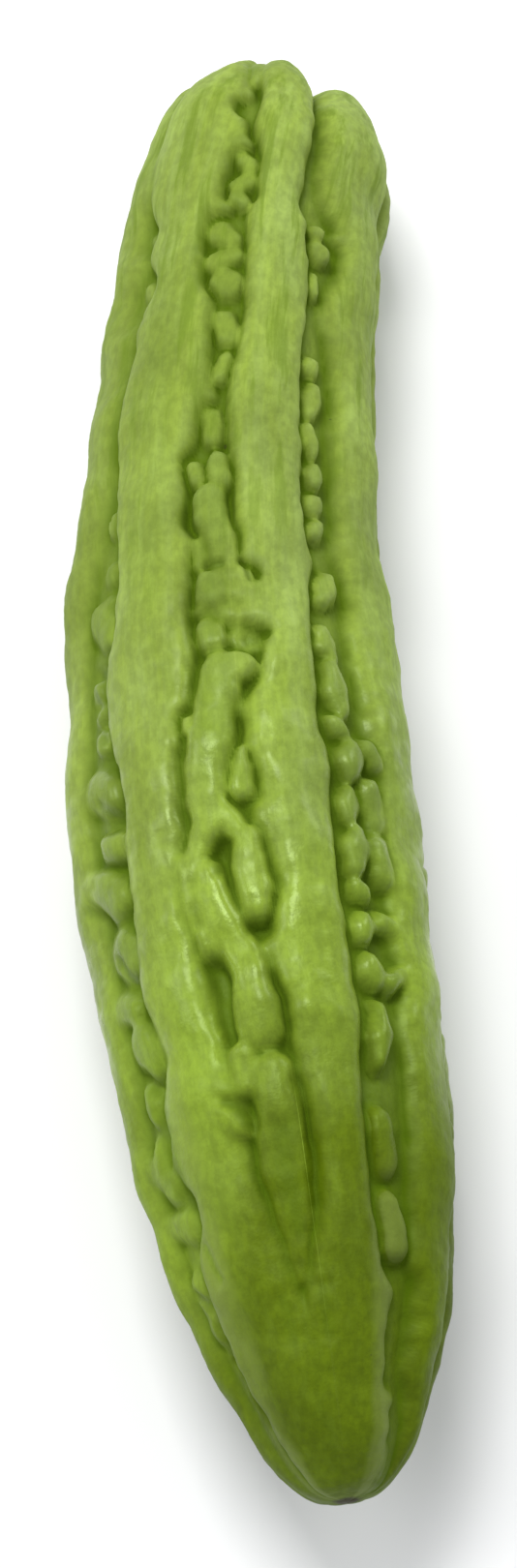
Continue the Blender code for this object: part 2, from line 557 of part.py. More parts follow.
def skin_material():
    """Green skin with a slight shine."""
    material = bpy.data.materials.new("green_skin")
    material.use_nodes = True
    principled = material.node_tree.nodes["Principled BSDF"]
    principled.inputs["Base Color"].default_value = SKIN_COLOUR
    principled.inputs["Roughness"].default_value = SKIN_ROUGHNESS
    return material


def floor_cutter(collection):
    """A block whose top is the surface that the gourd lies on."""
    width, length, depth = CUTTER_SIZE
    shape = bmesh.new()
    bmesh.ops.create_cube(shape, size=1.0)
    bmesh.ops.scale(shape, vec=(width, length, depth), verts=shape.verts)
    bmesh.ops.translate(shape, vec=(0.0, 0.0, -depth / 2), verts=shape.verts)
    mesh = bpy.data.meshes.new("floor_cutter")
    shape.to_mesh(mesh)
    shape.free()
    cutter = bpy.data.objects.new("floor_cutter", mesh)
    cutter.hide_render = True
    cutter.display_type = "WIRE"
    collection.objects.link(cutter)
    return cutter


def main():
    """Build the gourd, in a scene that holds nothing else."""
    for thing in list(bpy.data.objects):
        bpy.data.objects.remove(thing, do_unlink=True)
    parts = bpy.data.collections.new("bitter_gourd")
    cutters = bpy.data.collections.new("cutters")
    for collection in (parts, cutters):
        bpy.context.scene.collection.children.link(collection)

    gourd = bpy.data.objects.new("bitter_gourd", gourd_mesh("bitter_gourd", ROWS, COLUMNS))
    parts.objects.link(gourd)
    gourd.data.materials.append(skin_material())
    fewer = gourd.modifiers.new("fewer_faces", "DECIMATE")
    fewer.ratio = KEPT_FACES
    rest = gourd.modifiers.new("flat_where_it_rests", "BOOLEAN")
    rest.operation = "DIFFERENCE"
    rest.object = floor_cutter(cutters)


if __name__ == "__main__":
    main()
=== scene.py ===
"""A bitter gourd as picked, lying on its side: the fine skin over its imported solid.

The skin starts as a mesh with a point for each place along the body and each angle round it. Mesh code
lays out its crests and grooves, and a Geometry Nodes tree raises the warts and folds in the grooves, one
after another. Lengths along the skin are in millimetres and angles round it in degrees, measured from
the top and growing towards +X, as the solid has them. The finished mesh is in metres.
"""

import math
from types import SimpleNamespace

import bpy
import numpy as np
from mathutils import Matrix, Vector
from mathutils.noise import noise_vector, seed_set


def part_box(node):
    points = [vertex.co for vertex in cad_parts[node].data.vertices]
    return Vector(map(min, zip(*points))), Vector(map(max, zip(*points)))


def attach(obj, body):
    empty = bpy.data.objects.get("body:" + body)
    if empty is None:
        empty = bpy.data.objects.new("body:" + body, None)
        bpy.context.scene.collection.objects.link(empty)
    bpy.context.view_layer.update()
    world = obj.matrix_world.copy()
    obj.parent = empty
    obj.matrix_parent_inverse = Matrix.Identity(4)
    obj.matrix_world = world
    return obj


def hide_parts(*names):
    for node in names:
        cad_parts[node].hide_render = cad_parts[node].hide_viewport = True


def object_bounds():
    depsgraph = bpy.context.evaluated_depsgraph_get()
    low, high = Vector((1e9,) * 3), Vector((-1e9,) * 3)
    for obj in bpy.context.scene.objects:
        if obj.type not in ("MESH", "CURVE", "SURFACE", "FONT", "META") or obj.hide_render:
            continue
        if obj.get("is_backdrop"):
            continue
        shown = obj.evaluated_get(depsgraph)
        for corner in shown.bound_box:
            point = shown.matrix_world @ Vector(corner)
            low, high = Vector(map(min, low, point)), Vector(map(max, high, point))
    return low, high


bl_info = {
    "name": "Bitter Gourd",
    "version": (1, 0, 0),
    "blender": (4, 5, 0),
    "location": "3D View > Sidebar > Gourd",
    "description": "Grows a bitter gourd with its crests, grooves and warts",
    "category": "Add Mesh",
}

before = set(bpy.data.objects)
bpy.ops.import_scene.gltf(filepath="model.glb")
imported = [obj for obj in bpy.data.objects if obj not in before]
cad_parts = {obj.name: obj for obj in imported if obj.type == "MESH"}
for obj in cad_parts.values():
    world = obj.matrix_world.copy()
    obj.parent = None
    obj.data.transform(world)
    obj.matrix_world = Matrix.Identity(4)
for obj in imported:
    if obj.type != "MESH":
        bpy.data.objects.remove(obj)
cad_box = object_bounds()
NODE = "bitter_gourd"
PIECE = "gourd_skin"
BOX_LOW, BOX_HIGH = (Vector(corner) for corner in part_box(NODE))

MILLIMETRE = 0.001
LENGTH = 280.0
AXIS_LIFT = 2.7  # degrees that the blossom end is lifted as the gourd lies

# The outline in lengthwise section, from the stub of the stem to the blossom end: along, radius.
OUTLINE = (
    (6.0, 0.0), (6.0, 2.4), (9.5, 3.6), (6.0, 6.0), (0.8, 8.8), (0.8, 13.0), (5.0, 18.3), (14.0, 23.2),
    (32.0, 24.9), (70.0, 26.9), (112.0, 30.1), (154.0, 32.3), (196.0, 30.4), (224.0, 27.9),
    (246.0, 23.3), (263.0, 17.2), (274.0, 11.3), (279.0, 5.6), (280.0, 0.0),
)
RIM = 10.0  # how far the rim of the stem pit lies from the pit's middle, measured over the skin

# The bow of the axis to the side: along, sideways.
BOW = ((0, 12.2), (28, 4.8), (56, 0.5), (112, -4.3), (168, -2.4), (224, 3.4), (280, 8.2))

# Each crest's end at the stem lies this much further along: around, along.
SHOULDERS = (
    (0, 0.4), (8, 1.2), (18, 2.4), (30, 2.8), (45, 2.2), (60, 1.2), (80, 0.4), (100, 0.2), (160, 0.6),
    (230, 1), (300, 0), (345, 0), (360, 0.4),
)
SHOULDER_REACH = (12.0, 55.0)  # where along the body that shift begins to fade, and where it has gone
SHOULDER_PIT = (2.0, 9.0)  # it fades towards the middle of the pit, between these radii

# The grooves. Each has its two banks at points along the body: along, left bank, right bank. Where the
# banks have crossed, the two crests beside the groove have grown together.
LEFT_GROOVE = (
    (0, -52, -64), (20, -52, -62), (37, -50, -58), (40, -57, -52), (44, -57, -48), (46.5, -51, -53),
    (49, -52, -52), (51.5, -57, -47), (57, -58, -44), (60, -52, -50), (66, -48, -54), (73, -49, -54),
    (88, -49, -54), (95, -51, -52), (98, -55, -50), (105, -57, -49), (109, -60, -48), (114, -63, -47.5),
    (120, -64, -48.5), (125, -65, -47.5), (129, -66, -51), (132, -65, -53), (143, -64, -53),
    (148, -64, -50.5), (156, -64, -48), (161, -66, -47.5), (164, -66, -50), (168, -66, -50.5),
    (180, -66, -52), (190, -65, -54), (195, -64, -54.5), (199, -64, -52), (203, -64, -49.5),
    (207.5, -66, -52), (212, -69, -57), (217.5, -71, -58), (222, -72, -63), (226, -71, -57),
    (230, -70, -50), (234, -70, -53), (239, -72, -64), (246, -72, -63), (252, -72, -65),
    (258, -74, -66), (262, -74, -67), (266, -72, -63), (270, -68, -59), (275, -64, -57),
    (280, -60, -55),
)
FRONT_GROOVE = (
    (0, -26, -25), (4, -22.5, -21), (7, -18, -15.5), (10, -13.5, -10), (13, -12, -7), (15.5, -19, -7),
    (17.5, -18.5, -8), (19.5, -12, -8), (23, -8.5, -6), (26, -4.5, -2), (28.5, -12, 0.5), (31, -13, 1),
    (37, -13, 1), (39.5, -9, -2), (41.5, -17, -3), (45, -20, -2), (53, -19, 0), (57, -16, 0),
    (60, -12, 1), (68, -12, 0), (72, -10, -1), (76, -9, -2), (80, -7, -4), (84, -12, -3),
    (89, -14, -3), (93, -19, -1), (98, -18, 2), (102, -16, 1), (107.5, -17.5, 1.5), (110.5, -13, 3.5),
    (113.5, -13.2, 4), (115.2, -14.5, 4), (116, -14.3, 5.5), (120, -14.3, 6), (121, -14.3, -1.5),
    (128.6, -14.8, -1.5), (129.8, -14.2, 9.5), (132.5, -14, 10.5), (136, -14.6, 8), (139, -15.6, 6.5),
    (142, -16.5, 3), (144.3, -18, -0.8), (145.4, -20.8, -1.2), (147, -21.5, -0.8), (149, -20.8, -0.2),
    (151, -21, -0.6), (153, -21.4, -1.4), (155, -21.5, 0.3), (157, -21.6, 1.7), (160, -22, 2.8),
    (162, -22.2, 2), (164, -22, -0.5), (167, -21.6, -1.8), (170, -22.4, 0.8), (175, -24, 3.5),
    (180, -24.4, 4.2), (184, -24.6, 2.2), (187.5, -24.6, -1.3), (189.5, -24.5, -6), (192.5, -24, -5.5),
    (195, -23.5, -1), (198, -23, 0.5), (203, -22, 0.5), (208, -20, 0.5), (211, -16.5, 0.5),
    (216, -17, 0.5), (222, -19, 2), (228, -19.5, 3), (234, -17.5, 1.5), (239, -14.5, -1),
    (243, -12.5, -5), (247.5, -10, -9.5), (252, -4, -15), (280, 4, -20),
)
RIGHT_GROOVE = (
    (0, 24.5, 26.5), (8, 24.5, 27), (12, 25, 28), (16, 26, 30.5), (20, 26, 31.5), (26, 25, 31),
    (31, 24, 34), (34, 23, 39), (37, 25, 45), (39.5, 29, 45), (42, 28, 48), (47, 30, 49), (53, 32, 42),
    (59, 32, 40), (65, 31, 45), (70, 30, 47), (77, 30, 48), (83, 30, 45.5), (89, 31, 45), (96, 30, 46.5),
    (103, 29, 46), (109, 31, 44), (114, 34, 47), (118, 31, 50), (122, 30.5, 49), (127, 30, 46),
    (133, 29, 47), (141, 29, 48), (149, 28, 46), (155, 30, 50), (164, 29, 46), (174, 28, 49),
    (182, 29, 47), (189, 30, 47), (196, 30, 49), (204, 30, 47), (212, 27, 48), (223, 26, 47),
    (230, 26, 46), (237, 28, 48),
    (243.5, 30, 46), (245.5, 31, 47), (247, 34, 50), (250, 40, 52), (254, 37, 52), (258, 33, 51),
    (262, 34, 51), (264.5, 37, 54), (266, 46, 57), (269, 43, 58), (273, 46, 62), (276, 54, 68),
    (280, 60, 72),
)
# The grooves on the sides and underneath follow a rule: each is named by the angle of its middle. One
# opens along the first stretch, is at its widest up to the second, and closes along the second.
PLAIN_GROOVES = (87.0, 134.5, 181.5, 221.0, 256.0)
PLAIN_OPENS = (25.0, 75.0)
PLAIN_CLOSES = (215.0, 262.0)
PLAIN_HALF_WIDTHS = (1.2, 7.5)  # degrees, where a plain groove is narrowest and widest
PLAIN_STATION = 8.0  # how far apart the points of a plain groove's banks are
PLAIN_WAVER = 2.6  # degrees that each bank strays
CALM_SHARE = 0.25  # the share of that where the groove is narrowest
PLAIN_DRIFT = 2.0  # degrees that the whole groove wanders, once in each length of DRIFT_WAVE
DRIFT_WAVE = 195.0

# Relief, in millimetres from the floor of a groove.
# How far in from a bank a crest has risen over its edge, at the stem and blossom ends, and the power that
# makes its foot steep. Each groove has its left bank's and its right bank's.
STEEP = (2.8, 4.4, 0.5)
GENTLE = (10.0, 8.5, 1.0)
SLOPING = (5.5, 3.2, 0.6)
FLANKS = ((GENTLE, STEEP), (STEEP, STEEP), (STEEP, SLOPING), *5 * ((STEEP, STEEP),))
EDGE_SHARE = 0.64  # how much of a crest's height is in its edge; the rest is in its broad crown
CREST_ROUNDNESS = 2.4
CROWN_WINDOW = (-10.0, -5.0, 0.0, 5.0, 10.0)  # the crown follows its banks as averaged over these lengths
CREASE_FILL = (0.35, 0.9)  # how far creases are filled, at the stem end and at the blossom end
LEFT_FILL = 1.1  # how much further they are filled in the left groove and beyond it
LEFT_FILL_TURNS = (-50.0, -61.0)
FILL_CHANGES = (110.0, 215.0)  # where along the body the fill changes from one to the other
SWELL_HEIGHT = 0.45  # how much the skin rises and falls along its way
SWELL_WAVES = (16.0, 60.0)  # the shortest and the longest rise and fall
SWELL_TURNS = (-7, 8)  # from how many waves in a turn round the body to below how many
SWELLS = 12
TIP_FADE = 32.0  # the crests sink into the blossom end over this length of skin
PIT_FADE = (6.0, 24.0)  # and into the stem pit over this one

# The warts of the upper grooves: along, half length. Each is as wide as its groove.
LEFT_WARTS = (
    (42.5, 1.8), (54, 2.4), (102, 2.8), (112, 3), (118, 2.8), (124, 3.2), (133.5, 2.6), (138.5, 2.6),
    (144, 3), (210, 4.6), (219, 4.2),
)
FRONT_WARTS = (
    (29.5, 2), (33.5, 2.2), (37.5, 2), (45.5, 3), (50.5, 2.4), (55.5, 3.2), (65.5, 4.4), (74, 3.8),
    (87, 4.6),
)
RIGHT_WARTS = (
    (40.5, 2.2), (45, 2.8), (52.5, 3.4), (70.5, 2.6), (78, 4.6), (87, 4.2), (94.5, 3.4), (101, 2.8),
    (106.5, 3), (119, 4.6), (131.5, 4.6), (140.8, 6.6), (148.5, 2.3), (155, 5), (164, 4.4),
    (172.5, 6), (180.5, 2.3), (187, 3.8), (195, 4), (207, 6.8),
)
# Lobes on the flanks of the outer two rows, lumps at the rows' ends, and the winding folds of the front
# groove. Each is its height as a share of the crests', and its points of along, around, half width.
FOLDS = (
    (0.64, ((120, -60, 4.2), (123, -54, 4.4))),
    (0.66, ((152, -63, 4.8), (154, -57, 4.8))),
    (0.78, ((163.5, -59, 3.4), (164, -53, 3.8))),
    (0.80, ((168, -72, 3.8), (173, -58, 4.8))),
    (0.72, ((182, -62, 5.0), (184, -57, 5.0))),
    (0.68, ((191, -68, 3.4), (193, -60, 3.4))),
    (0.74, ((199, -60, 4.8), (202, -55, 4.8))),
    (0.62, ((220, -76, 3.2), (225, -64, 3.8))),
    (0.66, ((231, -74, 3.0), (233, -60, 3.6))),
    (0.64, ((243, -70, 3.4), (250, -69, 3.4))),
    (0.84, ((152, 45, 2.2), (154.5, 49, 2.2))),
    (0.86, ((160.5, 45, 3.0), (165.5, 47, 3.4))),
    (0.86, ((171, 46, 3.2), (176.5, 47, 3.2))),
    (0.84, ((186, 43, 2.6), (187, 51, 2.4))),
    (0.80, ((197, 44, 2.4), (195, 50, 2.2))),
    (0.72, ((-10, -30, 2.4), (1, -25, 2.4), (8, -14, 2.0))),
    (0.62, ((95.5, -15, 1.8), (98.5, -13, 1.8))),
    (0.74, ((94.5, -5.5, 2.9), (98, -4, 3.0))),
    (0.84, ((102.5, -8, 3.5), (107, -7, 3.8), (111, -3.5, 3.7), (115, -2, 3.6))),
    (0.60, ((112, -12.5, 2.0), (115.5, -11, 2.2))),
    (0.80, ((118.8, -5, 2.8), (118.8, 4, 2.6), (122, 4, 3.0), (122, -3, 3.0))),
    (0.94, ((119.8, -8.2, 3.2), (122.3, -7.2, 3.7))),
    (0.76, ((129, -9.4, 2.6), (131.4, -9.0, 2.9))),
    (0.74, ((129.4, -5.8, 2.0), (131.8, -5.4, 2.4))),
    (0.90, ((137.3, 2.0, 3.4), (137.8, -5.5, 4.6), (142, -7.4, 5.0), (147, -10.2, 4.8), (152, -11.5, 5.6),
            (157, -14.2, 4.9), (162, -15.1, 4.5), (166.5, -15.6, 3.6), (171, -19.6, 2.8), (175, -22.6, 2.6))),
    (0.84, ((164, -12, 3.2), (167.5, -7, 3.0))),
    (0.82, ((153.4, -0.6, 0.7), (157, -1.8, 2.4), (160.6, -2.6, 3.2))),
    (0.74, ((146.6, -18.8, 1.5), (148.2, -18.6, 1.6))),
    (0.45, ((131, 3, 3.4), (131.5, 7.5, 3.2))),
    (0.90, ((170.5, -3, 3.4), (175, -3, 4.0), (180, -2.8, 4.0), (183, -3.6, 3.5))),
    (0.86, ((173, -25, 3.0), (181, -23.5, 3.4), (188, -21, 3.2))),
    (0.92, ((175.5, -17, 3.0), (179, -17.5, 3.9), (184, -16, 4.1), (189, -12.5, 4.2), (194, -9, 4.3),
            (199, -9, 4.7), (204, -9.3, 5.0))),
    (0.92, ((212, -7.5, 4.6), (218, -7, 4.8))),
    (0.88, ((208.5, -16.5, 3.4), (213, -17.5, 3.4))),
    (0.78, ((214, -8, 5.0), (222, -8.5, 5.6), (229, -8, 5.6))),
    (0.68, ((229, -8, 5.6), (237, -8, 4.4), (242, -9, 3.0), (247, -9.5, 2.0))),
    (1.06, ((217, -28, 3.0), (220.5, -23.5, 3.0))),
    (0.74, ((222, 31.5, 3.0), (228.5, 33.5, 3.4))),
    (0.76, ((236, 34.5, 3.0), (242, 37.5, 3.8))),
)
# Shallow hollows in the skin: each is its depth, and its points of along, around, half width.
HOLLOWS = (
    (1.2, ((116.2, -8, 1.5), (116.2, -3.5, 1.4))),
    (0.8, ((115.5, 5.0, 1.0), (119.8, 6.2, 0.9))),
    (0.9, ((131.8, 5, 2.8), (131.8, 9, 3.0))),
    (0.8, ((171.5, -13, 1.8), (175, -13, 2.0))),
    (0.9, ((186.5, -6, 2.2), (186.8, -2, 1.8))),
    (0.5, ((181, -24, 2.0), (184, -24, 2.0))),
    (1.1, ((191, -20.5, 2.8), (196, -19, 3.0))),
    (1.0, ((215.5, -25, 1.8), (217, -21, 2.2), (220.5, -18, 2.2))),
    (1.2, ((151, -48.5, 1.8), (156, -47.5, 2.4), (158.5, -47, 2.0))),
    (0.8, ((161, -64, 2.4), (164, -62, 2.4))),
    (0.6, ((223, -8, 5.0), (232, -8, 5.0), (239, -7, 3.0))),
    (0.7, ((214, 0.5, 1.6), (221, 2, 1.8), (228, 2.5, 1.8), (235, 1, 1.8))),
    (0.5, ((250, -20, 2.4), (257, -18, 2.6))),
    (0.5, ((249, -1, 2.4), (256, 0, 2.4))),
    (0.7, ((238, -49, 2.0), (244, -46, 2.0))),
    (1.3, ((129.5, -63, 2.0), (130.5, -53, 2.4))),
    (0.8, ((134, -61, 2.0), (137, -60, 2.0))),
    (0.8, ((140, -56, 2.0), (144, -55, 2.0))),
    (0.8, ((155, -60, 1.8), (158, -55.5, 2.4))),
    (1.3, ((160.5, -55, 2.0), (161.5, -48, 2.4))),
    (0.8, ((171.5, -76, 2.0), (175.5, -66, 2.6))),
    (1.0, ((183, -63, 1.8), (190, -55.5, 2.6))),
    (0.9, ((204, -63, 1.8), (208, -59, 2.2))),
    (0.9, ((243, -73, 1.5), (247, -64, 1.8))),
    (0.8, ((250, -65, 1.5), (254, -60, 1.6))),
    (0.9, ((256, -69, 1.5), (259, -62, 1.6))),
    (0.9, ((263, -67, 1.5), (267, -60, 1.6))),
)

# Every wart's height is a share of the crests', lower near the stem end. The rows in the plain grooves
# are made by rule: from where to where they run, how long and how far apart the warts are.
SHARE_CHANGES = (60.0, 180.0)
WART_FILL = 1.04  # a wart's width as a share of its groove's
# Each upper row's habit: how high its warts stand by the rule, how far aside, how much of the groove they
# fill, and how far their ends narrow to points.
LEFT_HABIT = ((0.55, 0.95), (-3.0, 3.0), 1.0, 0.3)
FRONT_HABIT = ((0.88, 1.1), (0.0, 0.0), WART_FILL, 0.0)
RIGHT_HABIT = ((0.95, 1.2), (-3.3, -2.2), 0.70, 0.4)
WART_THINNEST = 1.3
WART_SLANT = 0.35  # how far a wart's ends lie off its straight line, and how much one end is thicker
WART_TAPER = 0.16
PLAIN_WARTS = (26.0, 246.0)
PLAIN_SHARES = (0.86, 1.1)  # how high they stand by the rule
WART_LENGTHS = (2.6, 5.6)
WART_SPACING = 1.8  # in half lengths
WART_ASIDE = 1.2  # degrees that a wart strays from the middle of its groove
TOO_NARROW = 5.0  # degrees: a plain groove that is narrower has no warts
SEED = 7
# Every outline strays a little from the lists, in waves this long and by up to this much. Blender's noise
# starts from the clock unless it has a seed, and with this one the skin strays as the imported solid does.
STRAYS = ((9.0, 0.35), (4.0, 0.5), (2.2, 0.2))
STRAY_SEED = 1795418756
BANK_STEP = 0.4  # how far apart the points are from which a crest's distance to its banks is taken
BANK_NEAR = 10.0

# The mesh: rows along the skin, columns round it, and how far the columns crowd towards the top. The
# outline is first followed in steps that are so many times finer than the rows.
ROWS = 466
COLUMNS = 214
TOP_CROWD = 0.48
FINER = 40
# What the shader knows of the relief: by how much smoother a skin is the height compared, in steps.
RELIEF_SPREADS = (("crease", 5), ("valley", 40))

# Where along the skin its colour and shine change, from one place to the other.
BELLY_BEGINS = (110.0, 195.0)
BLOSSOM_BEGINS = (200.0, 240.0)
BLOOM_ENDS = (120.0, 215.0)
STREAKS_END = (70.0, 150.0)
RIDGES_END = (120.0, 210.0)
GLOSS_BEGINS = (105.0, 160.0)
GLOSS_ENDS = (190.0, 224.0)
# painted light: the painted shade of the left groove fades towards its end, lighter where the light falls on
# that flank
LEFT_END_BEGINS = (226.0, 246.0)  # the left groove has a paler end
# Grooves painted darker all over towards the creases' green, as painted shade: the angle of the middle, from
# where to where along, and by how much.
PAINTED_SHADE_ROWS = (
    (302.0, 98.0, 232.0, 0.33), (352.0, 12.0, 160.0, 0.30), (40.0, 118.0, 225.0, 0.30),
    (329.0, 40.0, 125.0, 0.16), (331.0, 178.0, 212.0, 0.20), (60.0, 95.0, 160.0, 0.13),
)
# Edges of crests that are paler, partly the skin's own pale edges and, at the left groove's end, painted
# light: the angle of the middle, where that begins and where it is full.
PALE_EDGES = (
    (315.0, 175.0, 225.0), (309.0, 226.0, 242.0), (301.0, 230.0, 245.0), (28.0, 225.0, 245.0),
    (36.0, 222.0, 240.0),
)
PALE_GREEN = (0.165, 0.215, 0.045)
SPECK_GREEN = (0.05, 0.06, 0.012)
BLOSSOM_SCAR = (0.03, 0.022, 0.012)
COAT_ROUGHNESS = 0.3
SPECULAR_LEVEL = 0.3
SPECULAR_TINT = (0.75, 1.0, 0.35, 1.0)

# The stage, in metres: each light's name, place, size, and power as a share of the key light's.
LIGHTS = (
    ("key", (-0.25, 0.60, 1.60), 0.62, 1.0),
    ("left", (-1.30, 0.40, 1.10), 0.70, 0.42),
    ("right", (1.10, 1.10, 0.95), 0.70, 0.48),
)
SKY_COLOUR = (0.95, 0.97, 1.0, 1.0)
FLOOR_REACH = 3.0
FLOOR_ROUGHNESS = 0.8
LENS = 95.0
LENS_SHIFT = -0.022
AIM = Vector((0.0020, -0.0015, -0.0015))  # from the middle of the solid's box


class GourdRelief(bpy.types.PropertyGroup):
    """Heights of what stands on the gourd's skin."""

    crest: bpy.props.FloatProperty(
        name="Crests", description="Height of the crests over the floor of the grooves",
        default=0.005, min=0.0, unit="LENGTH",
    )
    wart_low: bpy.props.FloatProperty(
        name="Warts at the Stem", description="Height of the warts there, as a share of the crests'",
        default=0.5, min=0.0, max=1.0, subtype="FACTOR",
    )
    wart_high: bpy.props.FloatProperty(
        name="Warts at the Blossom", description="Height of the warts there, as a share of the crests'",
        default=0.74, min=0.0, max=1.0, subtype="FACTOR",
    )
    wart_roundness: bpy.props.FloatProperty(
        name="Wart Roundness", description="2 makes a wart round, and more makes its top flatter",
        default=3.1, min=1.0, max=8.0,
    )
    grain: bpy.props.FloatProperty(
        name="Grain", description="Height of the fine unevenness of the skin",
        default=0.00026, min=0.0, unit="LENGTH",
    )
    grain_size: bpy.props.FloatProperty(
        name="Grain Size", description="How far apart the rises of the fine unevenness are",
        default=0.006, min=0.0005, unit="LENGTH",
    )


class GourdColours(bpy.types.PropertyGroup):
    """Colours and shine of the gourd's skin."""

    crest: bpy.props.FloatVectorProperty(
        name="Crests", description="Pale green of the crests near the stem",
        default=(0.196, 0.270, 0.033), size=3, min=0.0, max=1.0, subtype="COLOR",
    )
    belly: bpy.props.FloatVectorProperty(
        name="Belly", description="Green of the thick middle of the fruit",
        default=(0.188, 0.276, 0.022), size=3, min=0.0, max=1.0, subtype="COLOR",
    )
    blossom: bpy.props.FloatVectorProperty(
        name="Blossom End", description="Olive green of the tapered end",
        default=(0.082, 0.124, 0.0010), size=3, min=0.0, max=1.0, subtype="COLOR",
    )
    # painted shade: the deep green of the creases is partly the skin's own darker green there and partly
    # shade painted into the colour
    crease: bpy.props.FloatVectorProperty(
        name="Creases", description="Deep green between the warts",
        default=(0.062, 0.112, 0.0012), size=3, min=0.0, max=1.0, subtype="COLOR",
    )
    bloom: bpy.props.FloatVectorProperty(
        name="Bloom", description="Greyish wax on the crests",
        default=(0.240, 0.320, 0.095), size=3, min=0.0, max=1.0, subtype="COLOR",
    )
    scar: bpy.props.FloatVectorProperty(
        name="Scars", description="Cork where the stem and the blossom were",
        default=(0.200, 0.140, 0.060), size=3, min=0.0, max=1.0, subtype="COLOR",
    )
    shine: bpy.props.FloatProperty(
        name="Coat", description="Strength of the waxy coat", default=0.22, min=0.0, max=1.0,
        subtype="FACTOR",
    )


class GourdStage(bpy.types.PropertyGroup):
    """Floor, lights and camera."""

    floor: bpy.props.FloatVectorProperty(
        name="Floor", description="Colour of the floor", default=(0.86, 0.86, 0.86), size=3,
        min=0.0, max=1.0, subtype="COLOR",
    )
    key: bpy.props.FloatProperty(
        name="Key Light", description="Power of the light over the stem end", default=21.0, min=0.0,
        unit="POWER",
    )
    sky: bpy.props.FloatProperty(
        name="Sky", description="Brightness of the light from all round", default=0.52, min=0.0,
    )
    azimuth: bpy.props.FloatProperty(
        name="Azimuth", description="Where the camera stands, from -Y towards +X",
        default=math.radians(-2.6), subtype="ANGLE",
    )
    elevation: bpy.props.FloatProperty(
        name="Elevation", description="How far the camera looks down", default=math.radians(68.7),
        subtype="ANGLE",
    )
    distance: bpy.props.FloatProperty(
        name="Distance", description="From the camera to the gourd", default=0.7545, min=0.1,
        unit="LENGTH",
    )


def smooth_through(points, places):
    """Values at places on a smooth curve through points of place, value."""
    x, y = np.array(points, float).T
    slope = np.gradient(y, x)
    i = np.clip(np.searchsorted(x, places) - 1, 0, len(x) - 2)
    step = x[i + 1] - x[i]
    t = np.clip((places - x[i]) / step, 0.0, 1.0)
    start, end = (1 + 2 * t) * (1 - t) ** 2, t * t * (3 - 2 * t)
    leave, arrive = t * (1 - t) ** 2 * step, t * t * (t - 1) * step
    return start * y[i] + end * y[i + 1] + leave * slope[i] + arrive * slope[i + 1]


def ease(low, high, value):
    """0 below low and 1 above high, with a smooth rise between them."""
    t = np.clip((value - low) / (high - low), 0.0, 1.0)
    return t * t * (3 - 2 * t)


def smooth_max(a, b, softness):
    """The larger of a and b, with the crease between them filled."""
    near = np.maximum(softness - np.abs(a - b), 0.0) / softness
    return np.maximum(a, b) + near**3 * softness / 6.0


def turn_between(angle, origin):
    """The angle from origin, from -180 to 180 degrees."""
    return (angle - origin + 180.0) % 360.0 - 180.0


def meridian(rows):
    """Along, radius, their directions and the distance over the skin, at evenly spaced rows."""
    points = np.array(OUTLINE)
    reach = np.r_[0.0, np.cumsum(np.hypot(*np.diff(points, axis=0).T))]
    fine = np.linspace(0.0, reach[-1], FINER * rows)
    along = smooth_through(np.c_[reach, points[:, 0]], fine)
    radius = smooth_through(np.c_[reach, points[:, 1]], fine)
    radius[[0, -1]] = 0.0
    skin = np.r_[0.0, np.cumsum(np.hypot(np.diff(along), np.diff(radius)))]
    place = np.linspace(0.0, skin[-1], rows)
    along, radius = np.interp(place, skin, along), np.interp(place, skin, radius)
    forward, outward = np.gradient(along, place), np.gradient(radius, place)
    size = np.hypot(forward, outward)
    return along, radius, forward / size, outward / size, place


def plain_groove(middle, rng):
    """Banks of a groove on the sides or underneath, narrow at both ends and wavy between them."""
    along = np.arange(0.0, LENGTH + PLAIN_STATION, PLAIN_STATION)
    open_here = ease(*PLAIN_OPENS, along) * (1.0 - ease(*PLAIN_CLOSES, along))
    narrow, wide = PLAIN_HALF_WIDTHS
    half = narrow + (wide - narrow) * open_here
    drift = PLAIN_DRIFT * np.sin(2 * math.pi * (along / DRIFT_WAVE + rng.uniform()))
    strays = rng.uniform(-PLAIN_WAVER, PLAIN_WAVER, (2, len(along)))
    left, right = strays * (CALM_SHARE + (1.0 - CALM_SHARE) * open_here)
    return np.c_[along, middle + drift - half + left, middle + drift + half + right]


def banks(groove, along):
    """The left and right bank of a groove, in degrees, at places along the body."""
    stations = np.array(groove, float)
    return (
        smooth_through(stations[:, (0, 1)], along),
        smooth_through(stations[:, (0, 2)], along),
    )


def radius_at(along):
    """The body's radius, past the rim."""
    past_rim = np.array([p for p in OUTLINE if p[1] > RIM or p[0] > LENGTH / 2])
    return np.interp(along, *past_rim.T)


def wart(groove, along, half_length, height, rng, aside, fill=WART_FILL, point=0.0):
    """A wart across its groove, a little slanted, as one bump or as two that narrow to points."""
    left, right = banks(groove, np.array([along]))
    to_mm = math.radians(1.0) * float(radius_at(along))
    half_width = max(WART_THINNEST, fill * float(right[0] - left[0]) / 2 * to_mm)
    around = float(left[0] + right[0]) / 2 + aside
    thin = min(half_width, half_length)
    reach, spread = half_length - thin * (1.0 - point), (half_width - thin) / to_mm
    slant, taper = rng.uniform(-WART_SLANT, WART_SLANT) * thin, rng.uniform(-WART_TAPER, WART_TAPER)
    if reach > spread * to_mm:
        spread = spread + slant / to_mm
    else:
        reach = reach + slant
    start = (along - reach, around - spread, thin * (1.0 - taper) * (1.0 - point))
    end = (along + reach, around + spread, thin * (1.0 + taper) * (1.0 - point))
    if point == 0.0:
        return [(start, end, height)]
    middle = (along, around, thin)
    return [(start, middle, height), (middle, end, height)]


def wart_height(relief, along):
    """How high warts stand at a place along the body, in millimetres."""
    share = relief.wart_low + (relief.wart_high - relief.wart_low) * float(ease(*SHARE_CHANGES, along))
    return share * relief.crest / MILLIMETRE


